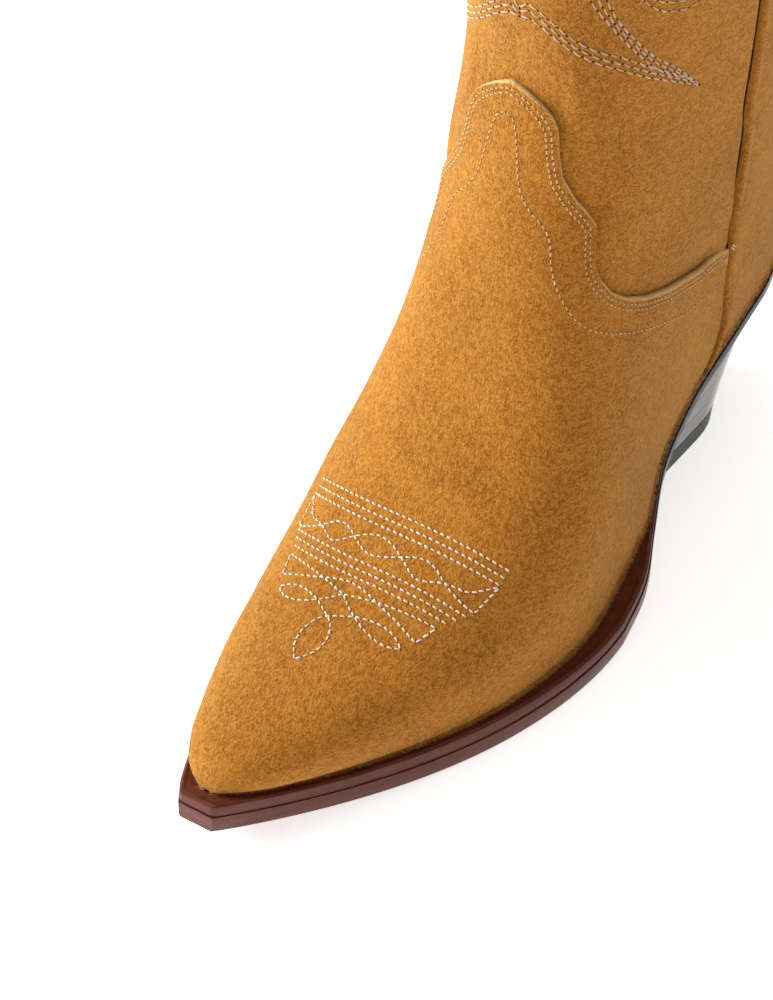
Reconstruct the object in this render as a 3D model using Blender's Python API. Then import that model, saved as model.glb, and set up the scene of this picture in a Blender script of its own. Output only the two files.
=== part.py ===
"""Cowboy boot, left foot, as separate pieces: welted leather bottom, stacked heel, upper, linings, pull straps.

Metres, +Z up, toe towards -Y, outer side of the foot towards +X, floor at Z = 0. Work inside the functions is
in millimetres with the heel end of the sole at y = 0 and the toe end at y = -LENGTH; solid() moves it to its
place in metres.
"""

import math

import bmesh
import bpy
import numpy as np

# Driving sizes, in millimetres. Distances along the sole are from its toe end.
LENGTH = 272.0
HEEL_END_Y = 133.83
TOE_SPRING = 8.2
HEEL_RISE = 51.7
SNIP_HALF = 5.0
TOE_CENTRE = -8.06
BALL_HALF = 50.2
BALL_AT = 126.7
SEAT_FROM = 238.0
SEAT_POWER = 2.3

# Clearances: upper to sole, layer to layer in the bottom, lift to lift in the heel, panel to side seam.
GAP = 0.35
LAYER_GAP = 0.3
LIFT_GAP = 0.25
SEAM_CLEAR = 0.0095

# Bottom.
WELT_FROM = 0.4
WELT_END = 194.0
WELT_INSET = 0.4
WELT_WIDE = 11.0
RAND_FROM = 197.5
RAND_WIDE = 9.0
RAND_HALF = 29.9
RAND_DEEP = 33.4
RAND_HALF_INSIDE = 21.3
RAND_DEEP_INSIDE = 31.3
CORK_FROM = 17.5
CORK_END = 118.0
CORK_INSET = 12.5
SHANK_FROM = 122.0
SHANK_END = 240.0
SHANK_HALF = 6.5
SHANK_THICK = 1.0
INSOLE_THICK = 2.1
SOCK_LINER_THICK = 1.0

# Heel.
HEEL_FRONT = 193.5
HEEL_BACK = 244.0
TOP_LIFT = 6.5
LIFT = 6.4

# Upper.
UPPER = 1.5
PANEL = 1.4
LINING = 0.9
STIFFENER_THICK = 1.3
TOE_BOX_DEPTH = UPPER + 0.35
COUNTER_DEPTH = UPPER + 0.45
STRAP_WIDTH = 26.0
STRAP_THICK = 1.8
STRAP_RISE = 17.0
STRAP_LEG = 38.0

# Sections as (across or away from the leather, up or out of it).
PIPING_SECTION = [(-1.05, -0.9), (-1.05, 0.35), (-0.6, 0.85), (0.6, 0.85), (1.05, 0.35), (1.05, -0.9)]
BINDING_SECTION = [(1.75, -5.0), (1.75, 0.9), (0.9, 1.6), (-3.0, 1.6), (-4.3, 0.9), (-4.3, -5.0)]
BINDING_SECTION += [(-3.4, -5.0), (-3.4, 0.4), (0.8, 0.4), (0.8, -5.0)]

# Rows of the last and shaft, from toe to top line. Each row is one slice through the upper, from the point at
# its back or bottom (distance from the toe end, height) to the point at its front or top (y, height).
# A height of -1 means on the sole. The last five are the slice's middle, its half widths on the outer and the
# inner side, the height of its widest place, and the squareness of its top.
ROWS = np.array(
    [
        (4.8, -1, -267.0, 0.6, -8.0, 4.6, 4.6, 0.30, 2.0),
        (5.6, -1, -266.2, 5.0, -8.0, 6.2, 6.2, 0.30, 2.0),
        (8.5, -1, -263.3, 9.5, -8.0, 9.2, 9.0, 0.32, 2.1),
        (15.0, -1, -257.0, 13.0, -7.6, 14.0, 13.0, 0.32, 2.2),
        (27.0, -1, -245.5, 17.5, -7.0, 21.5, 18.5, 0.32, 2.3),
        (46.0, -1, -226.5, 23.5, -6.0, 30.0, 25.5, 0.32, 2.3),
        (68.0, -1, -205.0, 31.5, -5.0, 38.5, 31.5, 0.31, 2.3),
        (91.0, -1, -182.0, 44.0, -4.0, 44.5, 36.0, 0.28, 2.2),
        (115.0, -1, -160.5, 67.0, -3.0, 46.5, 38.0, 0.26, 2.1),
        (142.0, -1, -146.5, 94.0, -2.5, 43.5, 35.3, 0.27, 2.0),
        (173.0, -1, -138.0, 112.0, -2.0, 38.5, 33.2, 0.33, 2.0),
        (206.0, -1, -134.0, 120.0, -1.5, 36.5, 34.0, 0.38, 2.1),
        (236.0, -1, -132.3, 121.5, -1.0, 36.0, 34.5, 0.42, 2.2),
        (256.0, -1, -131.6, 125.0, -0.5, 36.0, 35.0, 0.45, 2.2),
        (266.0, -1, -131.3, 130.0, 0.0, 36.2, 35.4, 0.47, 2.2),
        (270.8, -1, -131.1, 135.5, 0.0, 36.4, 35.8, 0.48, 2.2),
        (271.3, 66.0, -131.0, 199.0, 0.0, 36.7, 36.2, 0.49, 2.2),
        (271.5, 84.0, -131.0, 211.0, 0.0, 37.5, 37.2, 0.50, 2.2),
        (267.0, 116.0, -131.5, 227.0, 0.0, 38.8, 38.6, 0.50, 2.2),
        (262.5, 158.0, -132.5, 245.0, 0.0, 40.5, 40.5, 0.50, 2.2),
        (263.0, 204.0, -134.5, 265.0, 0.0, 42.5, 42.5, 0.50, 2.2),
        (267.0, 250.0, -137.5, 288.0, 0.0, 45.0, 45.0, 0.50, 2.2),
        (271.0, 288.0, -140.0, 308.0, 0.0, 47.0, 47.0, 0.50, 2.2),
        (274.5, 316.0, -142.0, 327.0, 0.0, 48.5, 48.5, 0.50, 2.2),
    ]
)
SEAT_END_ROW = 15


# Curves


def curve(xs, ys, x):
    """A smooth curve through the points (xs, ys), read at x and held level past its ends."""
    xs = np.asarray(xs, float)
    ys = np.asarray(ys, float)
    x = np.clip(np.asarray(x, float), xs[0], xs[-1])
    slope = np.gradient(ys, xs) if len(xs) > 2 else np.full(2, (ys[1] - ys[0]) / (xs[1] - xs[0]))
    i = np.clip(np.searchsorted(xs, x, side="right") - 1, 0, len(xs) - 2)
    step = xs[i + 1] - xs[i]
    t = (x - xs[i]) / step
    start = (2 * t**3 - 3 * t**2 + 1) * ys[i] + (t**3 - 2 * t**2 + t) * step * slope[i]
    end = (-2 * t**3 + 3 * t**2) * ys[i + 1] + (t**3 - t**2) * step * slope[i + 1]
    return start + end


def ease(x, start, end):
    """0 before start, 1 after end, smooth between."""
    t = np.clip((np.asarray(x, float) - start) / (end - start), 0, 1)
    return t * t * (3 - 2 * t)


# The sole, read at q, the distance from its toe end


def sole_bottom(q):
    """Height of the underside of the sole."""
    q = np.asarray(q, float)
    spring = TOE_SPRING * np.clip((85 - q) / 85, 0, 1) ** 2
    arch = curve([100, 117, 134, 169, 203, 238, 272], [0, 0.7, 3.4, 14.2, 29, 41.6, HEEL_RISE], q)
    return spring + arch * (q > 100)


def sole_thick(q):
    """Thickness of outsole and welt together."""
    return curve([0, 110, 140, 190, 272], [9.2, 9.0, 7.8, 6.2, 5.0], q)


def outsole_thick(q):
    return curve([0, 110, 150, 190, 272], [5.4, 5.3, 4.7, 4.0, 3.3], q)


def seat_curve(q, cut):
    """How the sole narrows to nothing round the back of the heel."""
    reach = np.clip(q - SEAT_FROM, 0, LENGTH - SEAT_FROM) / (LENGTH - SEAT_FROM - cut)
    return np.sqrt(np.clip(1 - reach**SEAT_POWER, 0, 1))


def outer_edge(q):
    """X of the sole's edge on the outer side, before the seat's rounding."""
    q = np.asarray(q, float)
    swell = BALL_HALF - TOE_CENTRE - SNIP_HALF
    front = np.sin(math.pi / 2 * np.clip(q / BALL_AT, 0, 1)) ** 0.95
    back = curve([BALL_AT, 144, 161, 178, 195, 225, 240], [BALL_HALF, 47.2, 40, 33.2, 30.6, 30.4, 30.5], q)
    return np.where(q < BALL_AT, TOE_CENTRE + SNIP_HALF + swell * front, back)


def inner_edge(q):
    """X of the sole's edge on the inner side, before the seat's rounding."""
    at = [0, 4, 10, 20, 35, 60, 90, 105, 125, 140, 170, 195, 225, 240]
    x = [-14, -16.6, -19.6, -23.8, -29.3, -36.5, -42.3, -43, -40.5, -36, -28.5, -26.5, -29.3, -30]
    return curve(at, x, q)


def edge(q, side, cut=0.0):
    """X of the sole's edge, cut back by cut, on side +1 (outer) or -1 (inner)."""
    x = outer_edge(q) - cut if side > 0 else inner_edge(q) + cut
    return x * seat_curve(np.asarray(q, float), cut)


# The upper, read at s (0 at the toe, 1 at the top line) and u (0 at the sole or back, 1 at the front line)


def row_positions():
    """The s of each row, by the length of the way along the upper."""
    q = ROWS[:, 0]
    on_sole = ROWS[:, 1] < 0
    floor = sole_bottom(q) + sole_thick(q) + GAP
    low = np.where(on_sole, floor, ROWS[:, 1])
    high = np.where(on_sole, floor + ROWS[:, 3], ROWS[:, 3])
    steps = np.hypot(np.diff(q + ROWS[:, 2]), np.diff(low + high)) / 2
    s = np.concatenate([[0], np.cumsum(steps)])
    return s / s[-1], low, high


S, LOW, HIGH = row_positions()
SEAT_END = S[SEAT_END_ROW]
SEAM_FOOT = S[11]
JUNCTION = 0.4917
HEEL_ROWS = (0.46, 0.475, 0.49, 0.503, 0.513, 0.521, 0.528, 0.534, 0.539, 0.5425, 0.5448, SEAT_END, 0.553)
HEEL_ROWS += (0.563, 0.577)


def upper(s, u, side):
    """A point of the upper's outer face."""
    s, u = np.broadcast_arrays(np.asarray(s, float), np.asarray(u, float))
    q = curve(S, ROWS[:, 0], s)
    low = curve(S, LOW, s)
    front = curve(S, ROWS[:, 2], s)
    high = curve(S, HIGH, s)
    middle = curve(S, ROWS[:, 4], s)
    wide = curve(S, ROWS[:, 5 if side > 0 else 6], s)
    waist = curve(S, ROWS[:, 7], s)
    square = curve(S, ROWS[:, 8], s)
    inset = curve([0, 60, 120, 160, 200, 240, 272], [4.6, 4.2, 3.8, 3.0, 2.0, 1.4, 1.2], q)
    along = np.minimum(q, SEAT_FROM)
    reach = side * edge(along, side) - inset - side * middle
    reach = np.where(s >= SEAT_END, 0, np.maximum(reach * seat_curve(q, 1.2), 0))
    tuck = 1 - (np.minimum(reach, wide) / wide) ** 2
    lower = np.clip(u / 0.42, 0, 1)
    fall = (1 - tuck**2) * (1 - lower) + tuck**2 * np.cos(math.pi / 2 * lower)
    angle = np.clip((u - 0.42) / 0.58, 0, 1) * math.pi / 2
    x_low = wide * np.sqrt(np.clip(1 - tuck * fall**2, 0, 1))
    x_high = wide * np.cos(angle) ** (2 / square)
    x = np.where(u < 0.42, x_low, x_high)
    rise = np.where(u < 0.42, waist * (1 - fall), waist + (1 - waist) * np.sin(angle) ** (2 / square))
    y = (q - LENGTH) * (1 - rise) + front * rise
    z = low * (1 - rise) + high * rise
    return np.stack([middle + side * x, y, z], -1)


def past_middle(s, u, side):
    """A point of the upper, with u allowed to run on past the front line, or past the back line above the seat."""
    s, u = np.broadcast_arrays(np.asarray(s, float), np.asarray(u, float))
    folded = np.where(u > 1, 2 - u, np.where(s >= SEAT_END, np.abs(u), np.maximum(u, 0)))
    point = upper(s, folded, side)
    crossed = (u > 1) | ((u < 0) & (s >= SEAT_END))
    middle = curve(S, ROWS[:, 4], s)
    point[..., 0] = np.where(crossed, 2 * middle - point[..., 0], point[..., 0])
    return point


def outward(s, u, side):
    """The direction out of the upper at a point of it."""
    ds = 0.0015
    du = 0.012
    along = upper(np.clip(s + ds, 0, 1), u, side) - upper(np.clip(s - ds, 0, 1), u, side)
    across = past_middle(s, u + du, side) - past_middle(s, u - du, side)
    out = np.cross(along, across) * side
    return out / np.linalg.norm(out, axis=-1, keepdims=True)


def under(s, u, side, depth):
    """A point at this depth below the upper's outer face."""
    s, u = np.broadcast_arrays(np.asarray(s, float), np.asarray(u, float))
    return upper(s, u, side) - outward(s, u, side) * np.asarray(depth, float)[..., None]


# Lines drawn on the upper: where its pieces meet

EDGE_U = [0, 0.04, 0.13, 0.253, 0.325, 0.404, 0.446, 0.494, 0.549, 0.604, 0.649, 0.684]
EDGE_U += [0.705, 0.716, 0.724, 0.75, 0.787, 0.828, 0.848, 0.862, 0.882, 0.912, 0.955, 1.0]
EDGE_S = [0.4443, 0.4549, 0.465, 0.4772, 0.4917, 0.4727, 0.4561, 0.4372, 0.4182, 0.4027, 0.3938, 0.3915]
EDGE_S += [0.3938, 0.404, 0.4175, 0.4190, 0.4192, 0.425, 0.4400, 0.4594, 0.4683, 0.4750, 0.4816, 0.4875]
SEAM_S = [0.4443, 0.4549, 0.465, 0.4772, 0.4917, 0.505, 0.5228, 0.545, 0.5595, 0.605, 0.655, 0.75, 1.0]
SEAM_U = [0.0, 0.04, 0.13, 0.253, 0.325, 0.375, 0.412, 0.428, 0.430, 0.426, 0.421, 0.42, 0.42]


def vamp_edge(u):
    """The s of the vamp's back edge: up the side seam, along the scallop, up to the tip of the tongue."""
    return np.interp(u, EDGE_U, EDGE_S)


def seam(s):
    """The u of the side seam."""
    return curve(SEAM_S, SEAM_U, s)


# Building solids


def material(name, colour, roughness):
    """A plain material of its own for one piece."""
    made = bpy.data.materials.new(name)
    made.use_nodes = True
    shader = made.node_tree.nodes["Principled BSDF"]
    shader.inputs["Base Color"].default_value = (*colour, 1)
    shader.inputs["Roughness"].default_value = roughness
    return made


def solid(name, points, faces, look, origin=(0, 0, 0)):
    """Makes the object. Origin is where its own origin sits, in millimetres."""
    place = np.array([0.0, HEEL_END_Y, 0.0])
    origin = np.asarray(origin, float)
    mesh = bpy.data.meshes.new(name)
    mesh.from_pydata(((np.asarray(points) - origin) / 1000).tolist(), [], faces)
    work = bmesh.new()
    work.from_mesh(mesh)
    bmesh.ops.remove_doubles(work, verts=work.verts, dist=2e-6)
    bmesh.ops.recalc_face_normals(work, faces=work.faces)
    if work.calc_volume(signed=True) < 0:
        bmesh.ops.reverse_faces(work, faces=work.faces)
    work.to_mesh(mesh)
    work.free()
    mesh.materials.append(material(name, *look))
    made = bpy.data.objects.new(name, mesh)
    made.location = (origin + place) / 1000
    bpy.context.scene.collection.objects.link(made)


def grid_faces(rows, columns, start):
    """Quads of a grid of points, row by row."""
    faces = []
    for i in range(rows - 1):
        for j in range(columns - 1):
            a = start + i * columns + j
            faces.append((a, a + 1, a + columns + 1, a + columns))
    return faces


def sections_faces(sections, size, closed=False):
    """Quads between sections of size points each, with end caps unless the run closes on itself."""
    faces = []
    for i in range(sections if closed else sections - 1):
        for j in range(size):
            a = size * i + j
            b = size * i + (j + 1) % size
            c = size * ((i + 1) % sections) + (j + 1) % size
            d = size * ((i + 1) % sections) + j
            faces.append((a, b, c, d))
    if not closed:
        faces.append(tuple(reversed(range(size))))
        faces.append(tuple(range(size * (sections - 1), size * sections)))
    return faces


def merged(points, faces):
    """One number for all points at the same place, as a list of numbers, with the faces in those numbers."""
    found = {}
    index = []
    for point in points:
        key = tuple(np.round(point, 3))
        index.append(found.setdefault(key, len(found)))
    cleaned = []
    for face in faces:
        ring = []
        for corner in (index[i] for i in face):
            if corner not in ring:
                ring.append(corner)
        if len(ring) > 2:
            cleaned.append(tuple(ring))
    return np.array(index), cleaned


def means(values, index):
    """The mean of the values that share a number."""
    count = np.bincount(index)
    return np.stack([np.bincount(index, weights=values[:, k]) / count for k in range(3)], 1)


def border(faces):
    """The edges that belong to one face only."""
    count = {}
    for face in faces:
        for a, b in zip(face, face[1:] + face[:1]):
            if (b, a) in count:
                del count[(b, a)]
            else:
                count[(a, b)] = True
    return list(count)


def shell(name, base, outer, inner, faces, look):
    """A closed skin between two faces of the same grid, joined wherever the base grid meets itself."""
    index, cleaned = merged(base, faces)
    outside = means(np.asarray(outer), index)
    inside = means(np.asarray(inner), index)
    count = len(outside)
    body = list(cleaned)
    body += [tuple(count + i for i in reversed(face)) for face in cleaned]
    body += [(b, a, count + a, count + b) for a, b in border(cleaned)]
    solid(name, np.concatenate([outside, inside]), body, look)


def skin(name, s, u, outer_depth, thick, look):
    """A skin over grids s and u of the upper, on both sides, joined where the columns meet."""
    s, u = np.broadcast_arrays(s, u)
    base = []
    points = []
    inner = []
    faces = []
    for side in (1, -1):
        start = len(points)
        base += list(upper(s, u, side).reshape(-1, 3))
        depth = outer_depth(s, u) if callable(outer_depth) else np.full(s.shape, float(outer_depth))
        points += list(under(s, u, side, depth).reshape(-1, 3))
        inner += list(under(s, u, side, depth + thick).reshape(-1, 3))
        quads = grid_faces(s.shape[0], s.shape[1], start)
        faces += quads if side > 0 else [tuple(reversed(quad)) for quad in quads]
    return shell(name, base, np.array(points), np.array(inner), faces, look)


def plate(name, outline, bottom, top, look, crown=0.0):
    """A slab between two heights that follow the sole, with an outline of rows (q, outer x, inner x)."""
    points = []
    for q, right, left in outline:
        y = q - LENGTH
        low = float(bottom(q))
        high = float(top(q))
        middle = (right + left) / 2
        ring = [(right, low), (right, high), (middle, high + crown), (left, high), (left, low), (middle, low)]
        points += [(x, y, z) for x, z in ring]
    solid(name, points, sections_faces(len(outline), len(ring)), look)


def band(name, outer, inner, bottom, top, look):
    """A strip round part of the sole between an outer and an inner line of (x, q) points."""
    points = []
    for (x, q), (x_in, q_in) in zip(outer, inner):
        points += [(x, q - LENGTH, float(bottom(q))), (x, q - LENGTH, float(top(q)))]
        points += [(x_in, q_in - LENGTH, float(top(q_in))), (x_in, q_in - LENGTH, float(bottom(q_in)))]
    solid(name, points, sections_faces(len(outer), 4), look)


# Bottom


def stations(first, last, count, close_back):
    """Distances along the sole, closer together at the toe and, when asked, round the heel."""
    t = np.linspace(0, 1, count)
    if close_back:
        t = (1 - np.cos(math.pi * t)) / 2
    else:
        t = 1 - np.cos(math.pi / 2 * t)
    return first + (last - first) * t


def make_outsole():
    q = stations(0, LENGTH - 0.15, 46, True)
    rows = [(a, float(edge(a, 1)), float(edge(a, -1))) for a in q]
    plate("outsole", rows, sole_bottom, lambda a: sole_bottom(a) + outsole_thick(a), SOLE_LEATHER)


def welt_lines(count):
    """The outer and inner line of the welt, from the outer side round the toe to the inner side."""
    q = stations(WELT_FROM, WELT_END, count, False)
    outer = [(float(edge(a, 1)) - WELT_INSET, a) for a in q[::-1]]
    outer += [(float(edge(a, -1)) + WELT_INSET, a) for a in q]
    toe_deep = 15
    run = WELT_END - WELT_FROM
    reach = WELT_FROM + toe_deep + (run - toe_deep) * (q - WELT_FROM) / run
    half = [max((float(edge(a, 1)) - float(edge(a, -1))) / 2 - WELT_WIDE, 1.4) for a in reach]
    middle = [(float(edge(a, 1)) + float(edge(a, -1))) / 2 for a in reach]
    inner = [(m + h, a) for m, h, a in zip(middle, half, reach)][::-1]
    inner += [(m - h, a) for m, h, a in zip(middle, half, reach)]
    return outer, inner


def above_outsole(a):
    return sole_bottom(a) + outsole_thick(a) + LAYER_GAP


def sole_top(a):
    return sole_bottom(a) + sole_thick(a)


def make_welt():
    outer, inner = welt_lines(24)
    band("welt", outer, inner, above_outsole, sole_top, SOLE_LEATHER)


def make_filler():
    rows = []
    for a in stations(CORK_FROM, CORK_END, 14, False):
        middle = float(edge(a, 1) + edge(a, -1)) / 2
        half = max(float(edge(a, 1) - edge(a, -1)) / 2 - CORK_INSET, 0.8)
        rows.append((a, middle + half, middle - half))
    plate("cork_filler", rows, above_outsole, lambda a: sole_top(a) - 0.1, CORK)


def make_shank():
    rows = []
    middle = (SHANK_FROM + SHANK_END) / 2
    for a in np.linspace(SHANK_FROM, SHANK_END, 14):
        half = SHANK_HALF - 1.5 * ((a - middle) / (SHANK_END - middle)) ** 2
        rows.append((a, half + 1.0, 1.0 - half))
    plate("steel_shank", rows, above_outsole, lambda a: above_outsole(a) + SHANK_THICK, STEEL, 0.15)


def make_heel_rand():
    angle = np.linspace(0, math.pi, 31)
    outer = []
    inner = []
    straight = np.linspace(RAND_FROM, SEAT_FROM - 6, 5)
    for a in straight:
        outer.append((float(edge(a, 1)) - WELT_INSET, a))
        inner.append((float(edge(a, 1)) - RAND_WIDE, a))
    for t in angle[1:-1]:
        deep = math.sin(t) ** (2 / SEAT_POWER)
        wide = math.cos(t)
        outer.append((wide * RAND_HALF, SEAT_FROM + deep * RAND_DEEP))
        inner.append((wide * RAND_HALF_INSIDE, SEAT_FROM + deep * RAND_DEEP_INSIDE))
    for a in straight[::-1]:
        outer.append((float(edge(a, -1)) + WELT_INSET, a))
        inner.append((float(edge(a, -1)) + RAND_WIDE, a))
    band("heel_rand", outer, inner, above_outsole, sole_top, SOLE_LEATHER)


def inside_rows(first, last, count, cut):
    """Outline of a sole that fits inside the lining."""
    rows = []
    for a in stations(first, last, count, True):
        reach = (a - first) / (last - first)
        nose = math.sqrt(max(1 - max(1 - reach / 0.06, 0) ** 2, 0.04))
        tail = math.sqrt(max(1 - max((reach - 0.86) / 0.14, 0) ** 2.1, 0.012))
        along = min(a, SEAT_FROM)
        middle = float(edge(along, 1) + edge(along, -1)) / 2
        waist = cut + 2.6 * float(ease(a, 105, 132) * (1 - ease(a, 172, 200)))
        half = (float(edge(along, 1) - edge(along, -1)) / 2 - waist) * min(nose, tail)
        rows.append((a, middle + half, middle - half))
    return rows


def make_insole():
    rows = inside_rows(17, 262.0, 30, 10.6)
    low = LAYER_GAP
    high = low + INSOLE_THICK
    plate("insole", rows, lambda a: sole_top(a) + low, lambda a: sole_top(a) + high, INSOLE_BOARD)


def make_sock_liner():
    rows = inside_rows(22, 260.5, 26, 11.4)
    low = INSOLE_THICK + 2 * LAYER_GAP
    high = low + SOCK_LINER_THICK
    plate("sock_liner", rows, lambda a: sole_top(a) + low, lambda a: sole_top(a) + high, LINING_LEATHER)


# Heel


def heel_outline(z, count=24):
    """The heel's outline at height z: straight breast at the front, round at the back."""
    t = min(z / HEEL_RISE, 1)
    front = HEEL_FRONT + 7.2 * z / 27
    back = HEEL_BACK + (LENGTH - 0.4 - HEEL_BACK) * t**1.55
    half_front = 23.2 + 6.6 * t**1.2
    half_back = 24.2 + 6.0 * t**1.5
    right = []
    for k in range(count):
        a = math.sin(math.pi / 2 * k / (count - 1))
        half = half_front + (half_back - half_front) * min(a * 1.6, 1)
        half *= math.sqrt(max(1 - max((a - 0.45) / 0.55, 0) ** SEAT_POWER, 0))
        right.append((half, front + (back - front) * a))
    left = [(-x, q) for x, q in reversed(right[:-1])]
    return right + left


def heel_layer(name, low, high, look):
    """One lift of the heel between two levels."""
    heights = [low, high]
    rings = [heel_outline(z) for z in heights]
    count = len(rings[0])
    points = [(x, q - LENGTH, z) for ring, z in zip(rings, heights) for x, q in ring]
    faces = [(i, (i + 1) % count, count + (i + 1) % count, count + i) for i in range(count)]
    faces.append(tuple(range(count)))
    faces.append(tuple(range(count, 2 * count)))
    solid(name, points, faces, look)


def make_wedge(low, look):
    """The top lift of the stack, cut to the slope of the seat."""
    bottom = heel_outline(low)
    top = []
    for k, (x, q) in enumerate(bottom):
        z = low
        for _ in range(30):
            ring = heel_outline(z)
            z = 0.5 * z + 0.5 * (float(sole_bottom(ring[k][1])) - LAYER_GAP)
        ring = heel_outline(z)
        top.append((ring[k][0], ring[k][1], max(z, low + LIFT_GAP)))
    count = len(bottom)
    half = count // 2
    points = [(x, q - LENGTH, low) for x, q in bottom]
    points += [(x, q - LENGTH, z) for x, q, z in top]
    faces = [(i, (i + 1) % count, count + (i + 1) % count, count + i) for i in range(count)]
    faces.append(tuple(range(count)))
    for i in range(half):
        a = count + i
        b = count + (count - 1 - i)
        if i + 1 == count - 2 - i:
            faces.append((a, a + 1, b))
        elif i + 1 < count - 2 - i:
            faces.append((a, a + 1, b - 1, b))
    solid("heel_wedge_lift", points, faces, look)


def make_heel():
    heel_layer("top_lift", 0.0, TOP_LIFT, RUBBER)
    low = TOP_LIFT + LIFT_GAP
    for number in (1, 2, 3):
        heel_layer("heel_lift_%d" % number, low, low + LIFT, HEEL_LEATHER)
        low += LIFT + LIFT_GAP
    make_wedge(low, HEEL_LEATHER)


# Upper


def back_rows(first, last, count):
    """Rows of s for a piece at the back: close together round the heel, then count more up to last."""
    heel = [x for x in HEEL_ROWS if first + 0.003 < x]
    return np.array([first] + heel + list(np.linspace(0.598, last, count)))


def make_vamp():
    u = np.concatenate([np.linspace(0, 0.66, 11), [0.697, 0.712, 0.722, 0.787, 0.828, 0.852, 0.882, 0.94, 1.0]])
    t = np.concatenate([[0, 0.008, 0.024, 0.05, 0.085], np.linspace(0.13, 1, 19)])
    end = vamp_edge(u) - 0.0050 * (1 - ease(u, 0.30, 0.36))
    s = t[:, None] * end[None, :]
    skin("vamp", s, u, 0.0, UPPER, SUEDE)


def front_depth(s, u):
    """The front of the shaft dips under the vamp's edge and comes up level above it."""
    return 2.0 * (1 - ease(s - vamp_edge(u), 0.008, 0.078))


def make_shaft_front():
    """From just below the vamp's edge to the top line, between the two side seams."""
    tucked = 0.013
    t = np.linspace(0, 1, 16)
    low = np.full(t.shape, 0.47)
    for _ in range(60):
        across = seam(np.maximum(low, JUNCTION)) + SEAM_CLEAR
        u = across + (1 - across) * t
        low = 0.6 * low + 0.4 * (vamp_edge(u) - tucked)
    rise = np.linspace(0, 1, 16) ** 1.15
    s = low[None, :] + (1 - low[None, :]) * rise[:, None]
    across = seam(np.maximum(s, JUNCTION)) + SEAM_CLEAR
    u = across + (1 - across) * t[None, :]
    skin("shaft_front", s, u, front_depth, PANEL, SUEDE)


def make_shaft_back():
    """From the heel seat to the top line, between the two side seams."""
    s = back_rows(SEAM_FOOT + 0.0065, 1.0, 13)
    reach = np.maximum(seam(s - 0.0052) - SEAM_CLEAR * ease(s, 0.46, 0.50), 0.004)
    u = reach[:, None] * np.linspace(0, 1, 10)[None, :]
    skin("shaft_back", s[:, None], u, 0.0, PANEL, SUEDE)


def make_piping(name, side):
    """The raised leather strip that covers a side seam, from the seat to the top line."""
    s = np.concatenate([np.linspace(0.4475, 0.56, 16), np.linspace(0.58, 0.984, 14)])
    u = seam(s)
    centre = upper(s, u, side)
    out = outward(s, u, side)
    along = np.gradient(centre, axis=0)
    along /= np.linalg.norm(along, axis=1, keepdims=True)
    across = np.cross(along, out)
    points = [p + a * side_on + b * up for p, side_on, up in zip(centre, across, out) for a, b in PIPING_SECTION]
    solid(name, points, sections_faces(len(s), len(PIPING_SECTION)), SUEDE_DARK)


def lining_depth(s, u):
    return 4.0 - 2.2 * ease(s, 0.62, 0.70)


def make_linings():
    u = np.concatenate([np.linspace(0.0, 0.42, 5), np.linspace(0.52, 1, 6)])
    s = np.linspace(0.045, 0.428, 16)[:, None]
    skin("vamp_lining", s, u, lining_depth, LINING, LINING_LEATHER)
    s = np.linspace(0.432, 1.0, 14)[:, None]
    skin("front_lining", s, np.linspace(0.335, 1, 10), lining_depth, LINING, LINING_LEATHER)
    s = back_rows(0.432, 1.0, 9)[:, None]
    skin("back_lining", s, np.linspace(0, 0.327, 8), lining_depth, LINING, LINING_LEATHER)


def make_toe_box():
    s = np.linspace(0.010, 0.125, 9)[:, None]
    skin("toe_box", s, np.linspace(0.03, 1, 10), TOE_BOX_DEPTH, STIFFENER_THICK, STIFFENER)


def make_counter():
    rows = back_rows(0.458, 0.61, 2)
    reach = np.minimum(seam(rows - 0.008) - 0.012, 0.30) * (1 - 0.35 * ease(rows, 0.53, 0.60))
    u = reach[:, None] * np.linspace(0, 1, 8)[None, :]
    skin("heel_counter", rows[:, None], u, COUNTER_DEPTH, STIFFENER_THICK, STIFFENER)


def make_binding():
    """The leather binding folded over the top line, one loop all the way round."""
    columns = []
    for side, order in ((1, np.linspace(0, 1, 16)), (-1, np.linspace(1, 0, 16)[1:-1])):
        for u in order:
            columns.append((side, float(u)))
    points = []
    for side, u in columns:
        top = upper(1.0, u, side)
        out = outward(1.0, u, side)
        up = top - upper(0.99, u, side)
        up /= np.linalg.norm(up)
        points += [top + out * away + up * rise for away, rise in BINDING_SECTION]
    solid("top_binding", points, sections_faces(len(columns), len(BINDING_SECTION), True), SUEDE_DARK)


# Pull straps


def strap_body(name, path, centre_y, origin=(0, 0, 0)):
    """A flat strap that follows a path of (x, z) points, as wide along Y as STRAP_WIDTH."""
    path = np.asarray(path, float)
    along = np.gradient(path, axis=0)
    along /= np.linalg.norm(along, axis=1, keepdims=True)
    normal = np.stack([along[:, 1], -along[:, 0]], 1)
    points = []
    for middle, out in zip(path, normal):
        for across, away in ((-1, -1), (-1, 1), (1, 1), (1, -1)):
            x, z = middle + out * away * STRAP_THICK / 2
            points.append((x, centre_y + across * STRAP_WIDTH / 2, z))
    solid(name, points, sections_faces(len(path), 4), SUEDE_DARK, origin)


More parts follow.
